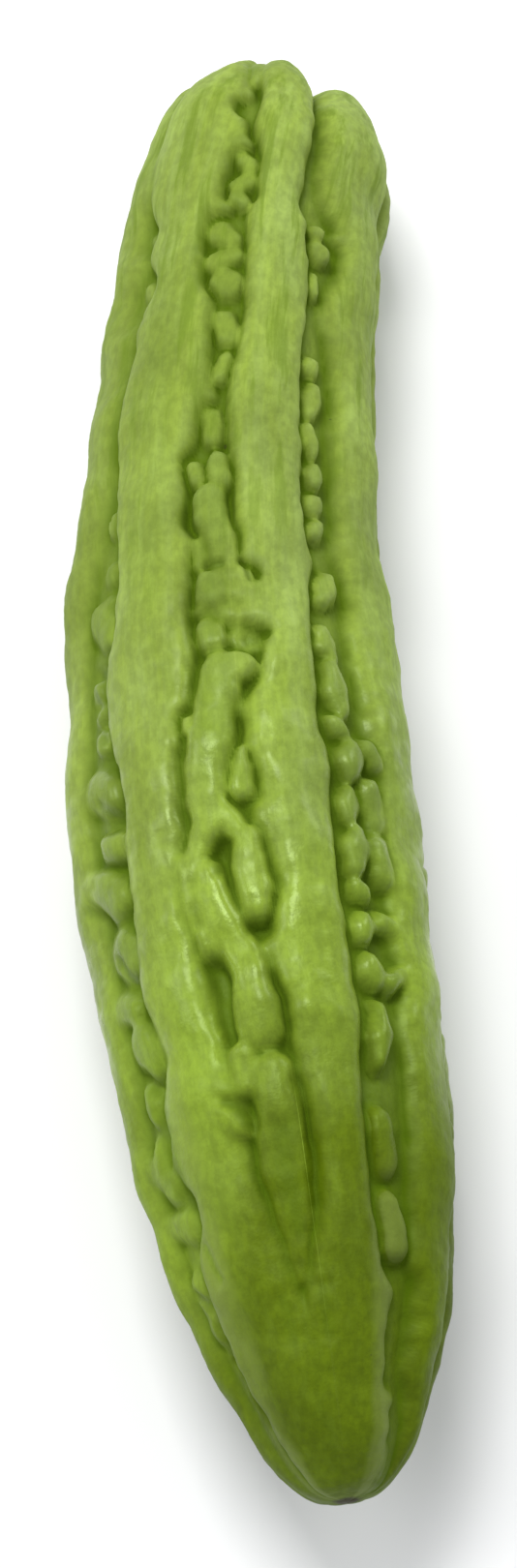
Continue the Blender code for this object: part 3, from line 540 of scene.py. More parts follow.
def row_of_warts(relief, groove, rng):
    """Warts one after another down a groove, each a little larger or smaller than the last."""
    bumps, along = [], PLAIN_WARTS[0]
    while along < PLAIN_WARTS[1]:
        half = rng.uniform(*WART_LENGTHS)
        left, right = banks(groove, np.array([along + half]))
        if right[0] - left[0] > TOO_NARROW:
            height = wart_height(relief, along) * rng.uniform(*PLAIN_SHARES)
            aside = rng.uniform(-WART_ASIDE, WART_ASIDE)
            bumps += wart(groove, along + half, half, height, rng, aside)
        along += WART_SPACING * half
    return bumps


def listed_warts(relief, groove, places, habit, rng):
    """The warts of an upper groove, each higher or lower and further aside than the last."""
    shares, asides, fill, point = habit
    bumps = []
    for along, half in places:
        height = wart_height(relief, along) * rng.uniform(*shares)
        bumps += wart(groove, along, half, height, rng, rng.uniform(*asides), fill, point)
    return bumps


def folds(relief):
    """The winding folds, as bumps that run from each point to the next."""
    return [
        (start, end, share * relief.crest / MILLIMETRE)
        for share, points in FOLDS
        for start, end in zip(points, points[1:])
    ]


def layout(relief):
    """The eight grooves in order round the body, and every bump in them."""
    rng = np.random.default_rng(SEED)
    plain = [plain_groove(middle, rng) for middle in PLAIN_GROOVES]
    grooves = [LEFT_GROOVE, FRONT_GROOVE, RIGHT_GROOVE, *plain]
    bumps = listed_warts(relief, FRONT_GROOVE, FRONT_WARTS, FRONT_HABIT, rng) + folds(relief)
    bumps += listed_warts(relief, RIGHT_GROOVE, RIGHT_WARTS, RIGHT_HABIT, rng)
    bumps += listed_warts(relief, LEFT_GROOVE, LEFT_WARTS, LEFT_HABIT, rng)
    for groove in plain:
        bumps += row_of_warts(relief, groove, rng)
    return grooves, bumps


def distance_to(bank, along, around, to_mm):
    """How far each point of the skin is from a bank, in millimetres."""
    distance = np.empty_like(along)
    for row in range(len(along)):
        near = bank[np.abs(bank[:, 0] - along[row].mean()) < BANK_NEAR]
        x = near[:, 0] - along[row][:, None]
        y = turn_between(near[:, 1], around[row][:, None]) * to_mm[row]
        distance[row] = np.sqrt((x * x + y * y).min(axis=1))
    return distance


def crests(relief, grooves, along, around, to_mm, softness):
    """Height of the crests over the floor of the grooves, in millimetres."""
    height = np.zeros(along.shape)
    stations = np.arange(-2 * RIM, LENGTH + RIM, BANK_STEP)
    sides = [*zip(grooves, FLANKS)]
    for (groove, (_, left_flank)), (next_groove, (right_flank, _)) in zip(sides, sides[1:] + sides[:1]):
        left, right = banks(groove, along)[1], banks(next_groove, along)[0]
        right = left + (right - left) % 360.0
        inside = np.abs(turn_between(around, (left + right) / 2)) < (right - left) / 2
        edge = 1.0
        for (at_stem, at_blossom, power), bank in (
            (left_flank, banks(groove, stations)[1]), (right_flank, banks(next_groove, stations)[0]),
        ):
            rise = at_stem + (at_blossom - at_stem) * ease(*FILL_CHANGES, along)
            distance = distance_to(np.c_[stations, bank], along, around, to_mm)
            short = 1.0 - np.minimum(distance / rise, 1.0)
            edge = edge * (1.0 - short**CREST_ROUNDNESS) ** power
        left = sum(banks(groove, along + shift)[1] for shift in CROWN_WINDOW) / len(CROWN_WINDOW)
        right = sum(banks(next_groove, along + shift)[0] for shift in CROWN_WINDOW) / len(CROWN_WINDOW)
        right = left + (right - left) % 360.0
        across = np.minimum(np.abs(turn_between(around, (left + right) / 2)) * 2 / (right - left), 1.0)
        crown = 1.0 - across**CREST_ROUNDNESS
        crest = relief.crest / MILLIMETRE * (EDGE_SHARE * edge + (1.0 - EDGE_SHARE) * crown)
        height = smooth_max(height, np.where(inside, crest, 0.0), softness)
    return height


def straying(straight):
    """How far the relief strays from its lists at points of the skin, in millimetres each way."""
    seed_set(STRAY_SEED)
    total = np.zeros(straight.shape)
    for size, reach in STRAYS:
        points = straight.reshape(-1, 3) / size
        vectors = [noise_vector(Vector(point)) for point in points]
        total += reach * np.array(vectors).reshape(straight.shape)
    return total[..., 0], total[..., 1]


def swelling(along, around):
    """The uneven rise and fall of the skin, from a few long waves that run round and along the body."""
    rng = np.random.default_rng(SEED)
    total = 0.0
    for _ in range(SWELLS):
        per_turn = rng.integers(*SWELL_TURNS)
        per_mm = 2 * math.pi / rng.uniform(*SWELL_WAVES)
        phase = rng.uniform(0.0, 2 * math.pi)
        total = total + np.sin(per_mm * along + np.radians(per_turn * around) + phase)
    return SWELL_HEIGHT * total / math.sqrt(SWELLS)


def hollowing(along, around, to_mm):
    """Depth of the shallow hollows, in millimetres."""
    deepest = np.zeros(along.shape)
    for depth, points in HOLLOWS:
        for (start, start_turn, start_half), (end, end_turn, end_half) in zip(points, points[1:]):
            x, y = along - start, turn_between(around, start_turn) * to_mm
            run, rise = end - start, (end_turn - start_turn) * to_mm
            t = np.clip((x * run + y * rise) / (run * run + rise * rise), 0.0, 1.0)
            half = start_half + t * (end_half - start_half)
            away = np.minimum(np.hypot(x - t * run, y - t * rise) / half, 1.0)
            deepest = np.maximum(deepest, depth * (1.0 - away**2) ** 2)
    return deepest


def directions(along):
    """Unit vectors at places along the body: ahead on its bowed axis, and to the side of it."""
    slant = smooth_through(BOW, along + 0.5) - smooth_through(BOW, along - 0.5)
    flat, one = np.zeros_like(slant), np.ones_like(slant)
    length = np.sqrt(1.0 + slant**2)[:, None]
    return np.stack([slant, -one, flat], -1) / length, np.stack([one, slant, flat], -1) / length


def leaning(vectors):
    """Vectors turned as the gourd leans where it lies."""
    lean = math.radians(AXIS_LIFT)
    across = (1.0, 0.0, 0.0)
    along = (0.0, math.cos(lean), math.sin(lean))
    upward = (0.0, -math.sin(lean), math.cos(lean))
    return vectors @ np.array((across, along, upward)).T


def skin_fields(relief):
    """What the skin's points know, each as one row of values for each place along the body."""
    along, radius, forward, outward, place = meridian(ROWS)
    turn = np.arange(COLUMNS) * 2 * math.pi / COLUMNS
    turn = turn - TOP_CROWD * np.sin(turn)
    around = np.degrees(turn)
    grooves, bumps = layout(relief)
    sharp, soft = CREASE_FILL
    stretch = np.where(place < RIM, place - RIM, along)[:, None]
    fill = sharp + (soft - sharp) * ease(*FILL_CHANGES, stretch)
    fill = fill + LEFT_FILL * ease(*LEFT_FILL_TURNS, turn_between(around, 0.0))
    to_mm = math.radians(1.0) * np.maximum(radius, 1.0)[:, None]
    fade = ease(*PIT_FADE, place) * ease(0.0, TIP_FADE, place[-1] - place)
    late = smooth_through(SHOULDERS, around)[None, :] * (1.0 - ease(*SHOULDER_REACH, along))[:, None]
    late = late * ease(*SHOULDER_PIT, radius)[:, None]

    ahead, side = (vector[:, None, :] for vector in directions(along))
    out = np.sin(turn)[None, :, None] * side + np.cos(turn)[None, :, None] * np.array((0.0, 0.0, 1.0))
    normal = forward[:, None, None] * out - outward[:, None, None] * ahead
    axis = np.stack([smooth_through(BOW, along), LENGTH / 2 - along, np.zeros_like(along)], -1)
    points = axis[:, None, :] + late[:, :, None] * ahead + radius[:, None, None] * out
    straight = np.stack(
        np.broadcast_arrays(
            radius[:, None] * np.sin(turn), -place[:, None], radius[:, None] * np.cos(turn)
        ),
        -1,
    )
    stray_along, stray_aside = straying(straight)
    strayed_along = stretch + stray_along
    strayed_around = around[None, :] + stray_aside / to_mm
    fields = {
        "position": leaning(points),
        "outward": leaning(normal),
        "straight": straight,
        "length": stretch,
        "along": strayed_along,
        "around": strayed_around,
        "to_mm": to_mm,
        "fill": fill,
        "fade": fade[:, None],
        "place": place[:, None],
        "to_tip": (place[-1] - place)[:, None],
        "height": crests(relief, grooves, strayed_along, strayed_around, to_mm, fill),
        "swell": swelling(stretch, around[None, :]),
        "hollow": hollowing(strayed_along, strayed_around, to_mm),
    }
    return fields, bumps


def skin_faces():
    """Faces of the skin: a fan at the pit, a fan at the tip, and four-sided ones between them."""
    column = np.arange(COLUMNS)
    beside = (column + 1) % COLUMNS
    first = 1 + (ROWS - 3) * COLUMNS
    tip = 1 + (ROWS - 2) * COLUMNS
    faces = [(0, int(1 + a), int(1 + b)) for a, b in zip(beside, column)]
    for row in range(ROWS - 3):
        near, far = 1 + row * COLUMNS, 1 + (row + 1) * COLUMNS
        faces += np.stack([near + column, near + beside, far + beside, far + column], -1).tolist()
    faces += [(tip, int(first + a), int(first + b)) for a, b in zip(column, beside)]
    return faces


def points_mesh(name, fields, faces):
    """A mesh with those points and faces, which keeps every other field as an attribute."""
    mesh = bpy.data.meshes.new(name)
    mesh.from_pydata(fields.pop("position").tolist(), [], faces)
    for field, values in fields.items():
        kind, slot = ("FLOAT_VECTOR", "vector") if values.ndim == 2 else ("FLOAT", "value")
        attribute = mesh.attributes.new(field, kind, "POINT")
        attribute.data.foreach_set(slot, np.ascontiguousarray(values, np.float32).ravel())
    return mesh


def one_point_each(field):
    """A field's values for the points of the mesh: one for the pit, one for the tip."""
    vector = field.ndim == 3
    grid = np.broadcast_to(field, (ROWS, COLUMNS, 3) if vector else (ROWS, COLUMNS))
    shape = (-1, 3) if vector else (-1,)
    return np.concatenate([grid[:1, 0], grid[1:-1].reshape(shape), grid[-1:, 0]])


def link(thing):
    """Put an object in the scene."""
    bpy.context.scene.collection.objects.link(thing)
    return thing


class Value:
    """A node's output. Sums written on it, as on a number, add their nodes to its tree."""

    def __init__(self, socket):
        self.socket = socket

    def __add__(self, other):
        return maths("ADD", self, other)

    def __sub__(self, other):
        return maths("SUBTRACT", self, other)

    def __rsub__(self, other):
        return maths("SUBTRACT", other, self)

    def __mul__(self, other):
        return maths("MULTIPLY", self, other)

    def __truediv__(self, other):
        return maths("DIVIDE", self, other)

    def __rtruediv__(self, other):
        return maths("DIVIDE", other, self)

    def __pow__(self, other):
        return maths("POWER", self, other)


def tree_of(*terms):
    """The node tree of the first node's output among the terms."""
    return next(term.socket.id_data for term in terms if isinstance(term, Value))


def put(tree, kind, inputs, **settings):
    """A new node. Each input is another node's output, or a plain value."""
    node = tree.nodes.new(kind)
    for setting, value in settings.items():
        setattr(node, setting, value)
    for key, value in inputs.items():
        value = value.socket if isinstance(value, Value) else value
        if isinstance(value, bpy.types.NodeSocket):
            tree.links.new(value, node.inputs[key])
        else:
            node.inputs[key].default_value = value
    return node


def made(tree, kind, inputs, output=0, **settings):
    """What a new node gives."""
    return Value(put(tree, kind, inputs, **settings).outputs[output])


def maths(operation, *terms, clamp=False):
    """The result of a sum on values and numbers."""
    inputs = dict(enumerate(terms))
    return made(tree_of(*terms), "ShaderNodeMath", inputs, operation=operation, use_clamp=clamp)


def highest(*terms):
    """The largest of the terms."""
    top = terms[0]
    for term in terms[1:]:
        top = maths("MAXIMUM", top, term)
    return top


def vector_parts(vector):
    """The three numbers of a vector."""
    node = put(tree_of(vector), "ShaderNodeSeparateXYZ", {0: vector})
    return [Value(socket) for socket in node.outputs]


def empty_tree(name, kind, inputs, outputs):
    """A node tree with those sockets, what it is given under each name, and the inputs of its last node."""
    tree = bpy.data.node_groups.new(name, kind)
    for label, socket_kind, default in inputs:
        socket = tree.interface.new_socket(label, in_out="INPUT", socket_type="NodeSocket" + socket_kind)
        if default is not None:
            socket.default_value = default
    for label, socket_kind in outputs:
        tree.interface.new_socket(label, in_out="OUTPUT", socket_type="NodeSocket" + socket_kind)
    given = {socket.name: Value(socket) for socket in tree.nodes.new("NodeGroupInput").outputs}
    return tree, given, tree.nodes.new("NodeGroupOutput").inputs


def named(tree, name, kind="FLOAT"):
    """The values that a mesh's points keep under a name."""
    return made(tree, "GeometryNodeInputNamedAttribute", {"Name": name}, "Attribute", data_type=kind)


def store(tree, geometry, name, value):
    """Geometry whose points also keep a value under a name."""
    inputs = {"Geometry": geometry, "Name": name, "Value": value}
    return put(tree, "GeometryNodeStoreNamedAttribute", inputs).outputs[0]


def bump_height(tree, bumps, index, roundness):
    """Nodes for the height of one bump over its own ground: round across, and round at both ends."""

    def sampled(name, kind):
        inputs = {"Geometry": bumps, "Value": named(tree, name, kind), "Index": index}
        return made(tree, "GeometryNodeSampleIndex", inputs, data_type=kind)

    start, start_turn, start_half = vector_parts(sampled("start", "FLOAT_VECTOR"))
    end, end_turn, end_half = vector_parts(sampled("end", "FLOAT_VECTOR"))
    to_mm = named(tree, "to_mm")
    x = named(tree, "along") - start
    y = maths("WRAP", named(tree, "around") - start_turn, 180.0, -180.0) * to_mm
    run, rise = end - start, (end_turn - start_turn) * to_mm
    reach = highest(run * run + rise * rise, 1e-6)
    part_way = maths("DIVIDE", x * run + y * rise, reach, clamp=True)
    half = start_half + (end_half - start_half) * part_way
    off_x, off_y = x - part_way * run, y - part_way * rise
    away = maths("DIVIDE", maths("SQRT", off_x * off_x + off_y * off_y), half, clamp=True)
    return maths("SQRT", 1.0 - away**roundness) * sampled("bump", "FLOAT")


def wart_tree():
    """The Geometry Nodes tree that raises every wart and fold, and presses the underside flat."""
    inputs = (
        ("Skin", "Geometry", None), ("Bumps", "Object", None), ("Roundness", "Float", 2.3),
        ("Crest Height", "Float", 5.0), ("Grain Height", "Float", 0.2), ("Grain Size", "Float", 7.0),
        ("Lying Height", "Float", 62.0), ("Material", "Material", None),
    )
    tree, given, ending = empty_tree("raise_warts", "GeometryNodeTree", inputs, [("Skin", "Geometry")])

    bumps = made(tree, "GeometryNodeObjectInfo", {"Object": given["Bumps"]}, "Geometry")
    count = put(tree, "GeometryNodeAttributeDomainSize", {"Geometry": bumps}).outputs["Point Count"]
    begin = tree.nodes.new("GeometryNodeRepeatInput")
    finish = tree.nodes.new("GeometryNodeRepeatOutput")
    begin.pair_with_output(finish)
    tree.links.new(count, begin.inputs["Iterations"])
    tree.links.new(given["Skin"].socket, begin.inputs["Geometry"])
    bump = bump_height(tree, bumps, begin.outputs["Iteration"], given["Roundness"])
    higher = maths("SMOOTH_MAX", named(tree, "height"), bump, named(tree, "fill"))
    tree.links.new(store(tree, begin.outputs["Geometry"], "height", higher), finish.inputs["Geometry"])
    skin = finish.outputs["Geometry"]

    softened = made(tree, "GeometryNodeBlurAttribute", {"Value": named(tree, "height"), "Iterations": 1})
    skin = store(tree, skin, "height", softened)
    height = named(tree, "height")
    for name, spread in RELIEF_SPREADS:
        blurred = made(tree, "GeometryNodeBlurAttribute", {"Value": height, "Iterations": spread})
        skin = store(tree, skin, name, blurred - height)

    straight = named(tree, "straight", "FLOAT_VECTOR")
    inputs = {"Vector": straight, "Scale": 1.0 / given["Grain Size"], "Detail": 3.0}
    grain = (made(tree, "ShaderNodeTexNoise", inputs) - 0.5) * 4.0 * given["Grain Height"]
    swell = height * named(tree, "swell") / given["Crest Height"]
    sunk = height + swell + grain - given["Crest Height"] - named(tree, "hollow")
    inputs = {0: named(tree, "outward", "FLOAT_VECTOR"), "Scale": sunk * named(tree, "fade")}
    offset = made(tree, "ShaderNodeVectorMath", inputs, operation="SCALE")
    skin = put(tree, "GeometryNodeSetPosition", {"Geometry": skin, "Offset": offset}).outputs[0]

    across, along, upward = vector_parts(made(tree, "GeometryNodeInputPosition", {}))
    top = made(tree, "GeometryNodeAttributeStatistic", {"Geometry": skin, 2: upward}, "Max")
    resting = highest(upward, top - given["Lying Height"])
    pressed = made(tree, "ShaderNodeCombineXYZ", {0: across, 1: along, 2: resting})
    for kind, inputs in (
        ("GeometryNodeSetPosition", {"Position": pressed}), ("GeometryNodeSetShadeSmooth", {}),
        ("GeometryNodeRealizeInstances", {}), ("GeometryNodeSetMaterial", {"Material": given["Material"]}),
    ):
        skin = put(tree, kind, {"Geometry": skin, **inputs}).outputs[0]
    tree.links.new(skin, ending[0])
    return tree


def add_nodes(thing, tree, values):
    """Put a Geometry Nodes modifier on an object, with its named inputs set."""
    modifier = thing.modifiers.new(tree.name, "NODES")
    modifier.node_group = tree
    for item in tree.interface.items_tree:
        if item.in_out == "INPUT" and item.name in values:
            modifier[item.identifier] = values[item.name]


def made_plain(thing):
    """An object's evaluated mesh, with no modifier left on it."""
    bpy.context.view_layer.update()
    evaluated = thing.evaluated_get(bpy.context.evaluated_depsgraph_get())
    mesh = bpy.data.meshes.new_from_object(evaluated)
    thing.modifiers.clear()
    return mesh


class GOURD_OT_grow(bpy.types.Operator):
    """Grow the gourd's skin, with its crests, grooves, warts and folds"""

    bl_idname = "gourd.grow"
    bl_label = "Grow Gourd"

    def execute(self, context):
        relief = context.scene.gourd_relief
        fields, bumps = skin_fields(relief)
        fields = {name: one_point_each(values) for name, values in fields.items()}
        skin = link(bpy.data.objects.new(PIECE, points_mesh(PIECE, fields, skin_faces())))
        starts, ends, heights = zip(*bumps)
        points = {
            "position": np.array(starts), "start": np.array(starts), "end": np.array(ends),
            "bump": np.array(heights),
        }
        places = link(bpy.data.objects.new("bump_places", points_mesh("bump_places", points, [])))
        values = {
            "Bumps": places,
            "Roundness": relief.wart_roundness,
            "Crest Height": relief.crest / MILLIMETRE,
            "Grain Height": relief.grain / MILLIMETRE,
            "Grain Size": relief.grain_size / MILLIMETRE,
            "Lying Height": (BOX_HIGH.z - BOX_LOW.z) / MILLIMETRE,
            "Material": skin_material(context.scene.gourd_colours),
        }
        tree = wart_tree()
        add_nodes(skin, tree, values)
        mesh = made_plain(skin)
        self.fit(mesh)
        old, skin.data = skin.data, mesh
        bpy.data.meshes.remove(old)
        bpy.data.objects.remove(places)
        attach(skin, "root")
        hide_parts(NODE)
        return {"FINISHED"}

    @staticmethod
    def fit(mesh):
        """Bring the skin to metres and into the solid's box."""
        points = np.empty(3 * len(mesh.vertices), np.float32)
        mesh.vertices.foreach_get("co", points)
        points = points.reshape(-1, 3) * MILLIMETRE
        low, high = points.min(axis=0), points.max(axis=0)
        middle = (low + high) / 2
        points = points + np.array((*((BOX_LOW + BOX_HIGH) / 2).xy, BOX_LOW.z))
        points -= np.array((middle[0], middle[1], low[2]))
        mesh.vertices.foreach_set("co", points.astype(np.float32).ravel())
        mesh.update()


def mixed(factor, first, second, blend="MIX"):
    """A colour between two others."""
    first, second = (
        colour if isinstance(colour, Value) else (*colour, 1.0) for colour in (first, second)
    )
    tree = tree_of(factor, first, second)
    inputs = {"Factor": factor, 6: first, 7: second}
    return made(tree, "ShaderNodeMix", inputs, 2, data_type="RGBA", blend_type=blend)


def between(value, low, high, at_low=0.0, at_high=1.0):
    """A smooth change from one number to another as a value goes from low to high."""
    inputs = {0: value, 1: low, 2: high, 3: at_low, 4: at_high}
    return made(tree_of(value), "ShaderNodeMapRange", inputs, interpolation_type="SMOOTHSTEP")


def noise(vector, size, detail=3.0, roughness=0.5, stretch=1.0):
    """Noise whose spots are that many millimetres across, and so many times longer lengthwise."""
    tree = tree_of(vector)
    inputs = {0: vector, 1: (1.0 / size, 1.0 / (size * stretch), 1.0 / size)}
    place = made(tree, "ShaderNodeVectorMath", inputs, operation="MULTIPLY")
    inputs = {"Vector": place, "Scale": 1.0, "Detail": detail, "Roughness": roughness}
    return made(tree, "ShaderNodeTexNoise", inputs)


def attribute(tree, name, output="Fac"):
    """What the skin keeps under a name."""
    return made(tree, "ShaderNodeAttribute", {}, output, attribute_name=name)


def bloom_group():
    """Wax that lies on the skin in lengthwise streaks."""
    inputs = [("Vector", "Vector", None), ("Along", "Float", 0.0), ("Height", "Float", 5.0)]
    tree, given, ending = empty_tree("waxy_bloom", "ShaderNodeTree", inputs, [("Mask", "Float")])
    streaks = noise(given["Vector"], 3.0, 4.0, 0.6, 9.0)
    patches = noise(given["Vector"], 26.0, 3.0, 0.5, 2.0)
    amount = between(streaks * 0.5 + patches * 0.6, 0.40, 0.75)
    amount = amount * between(given["Along"], *BLOOM_ENDS, 1.0, 0.0) * between(given["Height"], 2.5, 4.8)
    tree.links.new(amount.socket, ending["Mask"])
    return tree


def specks_group():
    """A few small dark specks."""
    inputs = [("Vector", "Vector", None), ("Spacing", "Float", 14.0), ("Size", "Float", 0.5)]
    tree, given, ending = empty_tree("specks", "ShaderNodeTree", inputs, [("Mask", "Float")])
    inputs = {0: given["Vector"], "Scale": 1.0 / given["Spacing"]}
    scaled = made(tree, "ShaderNodeVectorMath", inputs, operation="SCALE")
    cells = put(tree, "ShaderNodeTexVoronoi", {"Vector": scaled, "Scale": 1.0})
    share, chance, _ = vector_parts(Value(cells.outputs["Color"]))
    away = Value(cells.outputs["Distance"]) * given["Spacing"]
    spot = maths("SUBTRACT", 1.0, away / (given["Size"] * share), clamp=True)
    mask = between(spot, 0.0, 0.5) * maths("GREATER_THAN", chance, 0.45)
    tree.links.new(mask.socket, ending["Mask"])
    return tree


def turn_from(around, middle):
    """How far round the body a point lies from a given angle, either way."""
    turned = maths("FLOORED_MODULO", around + (180.0 - middle), 360.0)
    return maths("ABSOLUTE", turned - 180.0)


def skin_shade(skin):
    """How much painted shade the skin has: the creases' green where its relief is low or hollowed, partly
    their own colour and partly painted shade, and grooves painted darker all over.
    """
    deep = between(skin.crease, -0.02, 0.55)
    low, dent = between(skin.valley, -0.3, 1.6), between(skin.hollow, 0.05, 1.1)
    shade = highest(deep, low * 0.92, dent * 0.7)
    # painted shade: whole grooves are darkened towards the creases' green
    for middle, start, end, most in PAINTED_SHADE_ROWS:
        row = between(turn_from(skin.around, middle), 11.0, 5.0)
        row = row * between(skin.length, start, start + 20.0, 0.0, most)
        row = row * between(skin.length, end + 10.0, end - 10.0)
        shade = highest(shade, row + shade * 0.6)
    # painted light: the painted shade fades at the end of the left groove, lighter where the light falls on
    # that flank
    left_end = between(turn_from(skin.around, 300.0), 30.0, 12.0) * between(skin.length, *LEFT_END_BEGINS)
    return highest(shade * (left_end * -0.5 + 0.95), deep * 0.95)


def skin_colour(skin, colours, shade):
    """The skin's colour: pale at the stem, olive at the blossom end, deep green in the creases, partly their
    own green and partly painted shade, and with painted light on its left flank.
    """
    # painted light: the left flank keeps its paler green further towards the blossom end, and the rest less
    # far, lighter where the light falls on it
    painted_left_light = between(turn_from(skin.around, 285.0), 22.0, 72.0, -29.0, 9.0)
    stage = skin.length + (skin.patches * 44.0 - 22.0) + painted_left_light
    colour = mixed(between(stage, *BELLY_BEGINS), colours.crest, colours.belly)
    colour = mixed(between(stage, *BLOSSOM_BEGINS), colour, colours.blossom)
    colour = mixed(skin.bloom * 0.55, colour, colours.bloom)

    tone = between(skin.patches, 0.3, 0.7, 0.82, 1.15) * between(skin.flecks, 0.32, 0.68, 0.88, 1.10)
    tone = tone * between(skin.fibres, 0.3, 0.7, 0.94, 1.06)
    tone = made(tree_of(tone), "ShaderNodeCombineColor", {0: tone, 1: tone, 2: tone})
    colour = mixed(1.0, colour, tone, "MULTIPLY")

    streaks = between(noise(skin.straight, 3.2, 4.0, 0.65, 11.0), 0.50, 0.66)
    streaks = streaks * between(skin.length, *STREAKS_END, 0.48, 0.12)
    colour = mixed(streaks, colour, colours.belly)
    colour = mixed(streaks * 0.8, colour, colours.crease)
    ridges = between(skin.crease, -0.06, -0.45) * between(skin.length, *RIDGES_END, 0.22, 0.0)
    colour = mixed(ridges, colour, colours.bloom)
    # painted shade: creases, hollows and grooves get the deep crease green, partly their own colour and
    # partly painted shade
    colour = mixed(shade, colour, colours.crease)

    # paler crest edges: partly the skin's own colour, and at the end of the left groove painted light
    for middle, start, end in PALE_EDGES:
        pale = between(turn_from(skin.around, middle), 9.0, 2.0) * between(skin.length, start, end, 0.0, 0.45)
        pale = pale * between(shade, 0.3, 0.0) * between(skin.patches, 0.35, 0.55, 0.4, 1.0)
        colour = mixed(pale, colour, PALE_GREEN)

    inputs = {"Vector": skin.straight}
    specks = made(tree_of(colour), "ShaderNodeGroup", inputs, "Mask", node_tree=specks_group())
    colour = mixed(specks * 0.7, colour, SPECK_GREEN)
    colour = mixed(between(skin.place, 4.5, 7.5, 1.0, 0.0), colour, colours.scar)
    star = between(skin.flecks * 2.0 + skin.to_tip, 2.2, 4.0, 1.0, 0.0)
    return mixed(star, colour, BLOSSOM_SCAR)


def skin_shine(skin):
    """How rough the skin is, and how much of the waxy coat it has: most in blotches on its middle."""
    blotches = between(noise(skin.straight, 6.0, 2.0), 0.44, 0.58)
    glossy = between(skin.length, *GLOSS_BEGINS) - between(skin.length, *GLOSS_ENDS)
    glossy = glossy * between(skin.crease, 0.05, -0.05)
    rough = between(skin.length, 105.0, 165.0, 0.60, 0.44) + between(skin.length, 205.0, 240.0, 0.0, 0.14)
    rough = skin.bloom * 0.16 + rough
    rough = rough + between(noise(skin.straight, 9.0, 3.0), 0.35, 0.65, -0.05, 0.09)
    rough = rough + between(skin.crease, 0.02, 0.5, 0.0, 0.4) - glossy * blotches * 0.16
    return rough, glossy * (blotches * 0.85 + 0.15)


def skin_material(colours):
    """The skin: pale and waxy at the stem, glossier below, deep green in its creases, partly their own green
    and partly painted shade.
    """
    material = bpy.data.materials.new("gourd_skin")
    material.use_nodes = True
    tree = material.node_tree
    shader = tree.nodes["Principled BSDF"]
    fields = ("length", "height", "crease", "valley", "hollow", "to_tip", "place", "around")
    skin = SimpleNamespace(**{field: attribute(tree, field) for field in fields})
    skin.straight = attribute(tree, "straight", "Vector")
    skin.patches = noise(skin.straight, 17.0, 4.0, 0.55, 1.6)
    skin.flecks = noise(skin.straight, 1.6, 3.0, 0.6, 1.5)
    skin.fibres = noise(skin.straight, 1.2, 3.0, 0.6, 12.0)
    inputs = {"Vector": skin.straight, "Along": skin.length, "Height": skin.height}
    skin.bloom = made(tree, "ShaderNodeGroup", inputs, "Mask", node_tree=bloom_group())

    rough, coat = skin_shine(skin)
    grain = noise(skin.straight, 0.7, 2.0) * 0.03 + skin.fibres * 0.05
    grain = grain + noise(skin.straight, 2.6, 3.0, 0.6) * 0.2
    normal = made(tree, "ShaderNodeBump", {"Height": grain, "Distance": MILLIMETRE, "Strength": 1.0})
    for socket, value in (
        ("Base Color", skin_colour(skin, colours, skin_shade(skin))), ("Roughness", rough),
        ("Coat Weight", coat * colours.shine), ("Normal", normal),
    ):
        tree.links.new(value.socket, shader.inputs[socket])
    shader.inputs["Coat Roughness"].default_value = COAT_ROUGHNESS
    shader.inputs["Specular IOR Level"].default_value = SPECULAR_LEVEL
    shader.inputs["Specular Tint"].default_value = SPECULAR_TINT
    return material


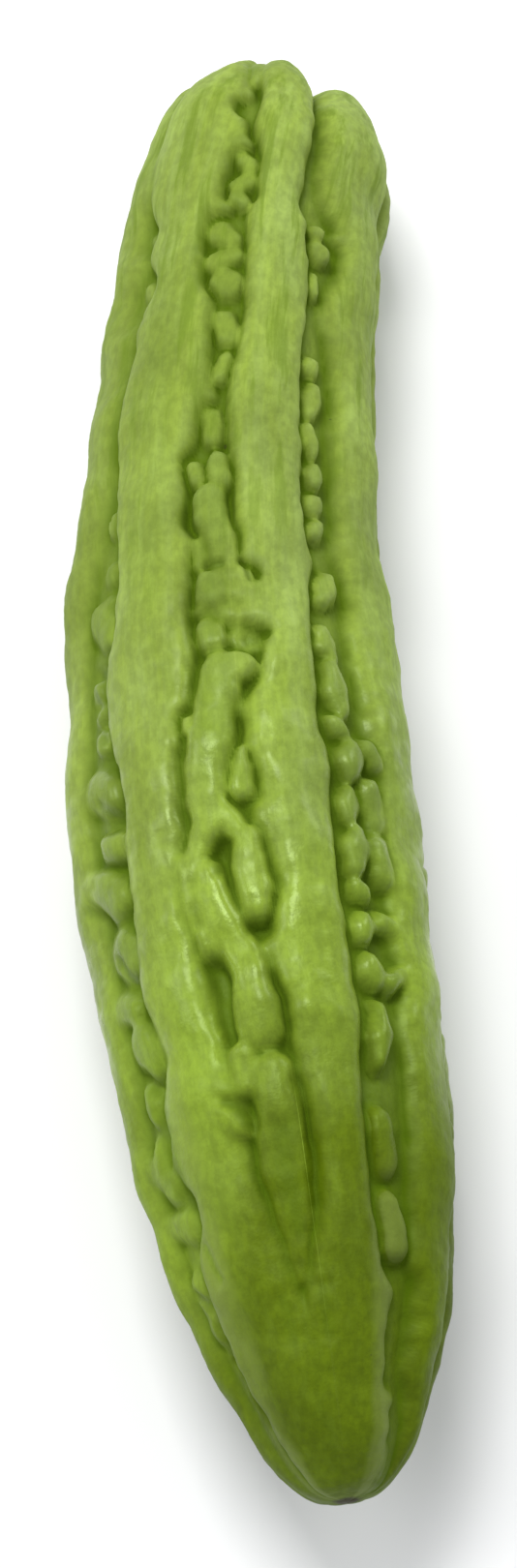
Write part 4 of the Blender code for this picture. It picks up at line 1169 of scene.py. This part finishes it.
class GOURD_OT_stage(bpy.types.Operator):
    """Set the floor, the lights and the camera"""

    bl_idname = "gourd.stage"
    bl_label = "Set Stage"

    def execute(self, context):
        stage = context.scene.gourd_stage
        self.floor(stage)
        self.lights(context, stage)
        self.camera(context, stage)
        context.scene.view_settings.view_transform = "Standard"
        return {"FINISHED"}

    @staticmethod
    def floor(stage):
        far = FLOOR_REACH
        corners = [(-far, -far, 0), (far, -far, 0), (far, far, 0), (-far, far, 0)]
        mesh = bpy.data.meshes.new("floor")
        mesh.from_pydata(corners, [], [(0, 1, 2, 3)])
        mesh.transform(Matrix.Translation((0.0, 0.0, BOX_LOW.z)))
        material = bpy.data.materials.new("floor")
        material.use_nodes = True
        shader = material.node_tree.nodes["Principled BSDF"]
        shader.inputs["Base Color"].default_value = (*stage.floor, 1.0)
        shader.inputs["Roughness"].default_value = FLOOR_ROUGHNESS
        mesh.materials.append(material)
        link(bpy.data.objects.new("floor", mesh))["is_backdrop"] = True

    @staticmethod
    def lights(context, stage):
        for name, place, side, share in LIGHTS:
            light = bpy.data.lights.new(name, "AREA")
            light.size, light.energy = side, share * stage.key
            lamp = link(bpy.data.objects.new(name, light))
            lamp.location = place
            lamp.rotation_euler = (-Vector(place)).to_track_quat("-Z", "Y").to_euler()
        world = bpy.data.worlds.new("sky")
        world.use_nodes = True
        background = world.node_tree.nodes["Background"]
        background.inputs["Color"].default_value = SKY_COLOUR
        background.inputs["Strength"].default_value = stage.sky
        context.scene.world = world

    @staticmethod
    def camera(context, stage):
        lens = bpy.data.cameras.new("camera")
        lens.lens, lens.shift_y = LENS, LENS_SHIFT
        camera = link(bpy.data.objects.new("camera", lens))
        flat, high = math.cos(stage.elevation), math.sin(stage.elevation)
        back = Vector((math.sin(stage.azimuth) * flat, -math.cos(stage.azimuth) * flat, high))
        camera.location = (BOX_LOW + BOX_HIGH) / 2 + AIM + stage.distance * back
        camera.rotation_euler = (-back).to_track_quat("-Z", "Y").to_euler()
        context.scene.camera = camera


class GOURD_PT_panel(bpy.types.Panel):
    """Sidebar panel of the gourd"""

    bl_idname = "GOURD_PT_panel"
    bl_label = "Bitter Gourd"
    bl_space_type = "VIEW_3D"
    bl_region_type = "UI"
    bl_category = "Gourd"

    def draw(self, context):
        scene = context.scene
        for settings, operator in (
            (scene.gourd_relief, None), (scene.gourd_colours, "gourd.grow"),
            (scene.gourd_stage, "gourd.stage"),
        ):
            box = self.layout.box()
            for name in settings.bl_rna.properties.keys():
                if name not in {"rna_type", "name"}:
                    box.prop(settings, name)
            if operator:
                box.operator(operator)


CLASSES = (
    GourdRelief, GourdColours, GourdStage, GOURD_OT_grow, GOURD_OT_stage, GOURD_PT_panel,
)


def register():
    for cls in CLASSES:
        bpy.utils.register_class(cls)
    bpy.types.Scene.gourd_relief = bpy.props.PointerProperty(type=GourdRelief)
    bpy.types.Scene.gourd_colours = bpy.props.PointerProperty(type=GourdColours)
    bpy.types.Scene.gourd_stage = bpy.props.PointerProperty(type=GourdStage)


def unregister():
    for name in ("gourd_relief", "gourd_colours", "gourd_stage"):
        delattr(bpy.types.Scene, name)
    for cls in reversed(CLASSES):
        bpy.utils.unregister_class(cls)


def main():
    """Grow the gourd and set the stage."""
    register()
    bpy.ops.gourd.grow()
    bpy.ops.gourd.stage()
    sizes = {"cad": cad_box, "visual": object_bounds()}
    sizes = {name: [[float(value) for value in corner] for corner in box] for name, box in sizes.items()}


if __name__ == "__main__":
    main()
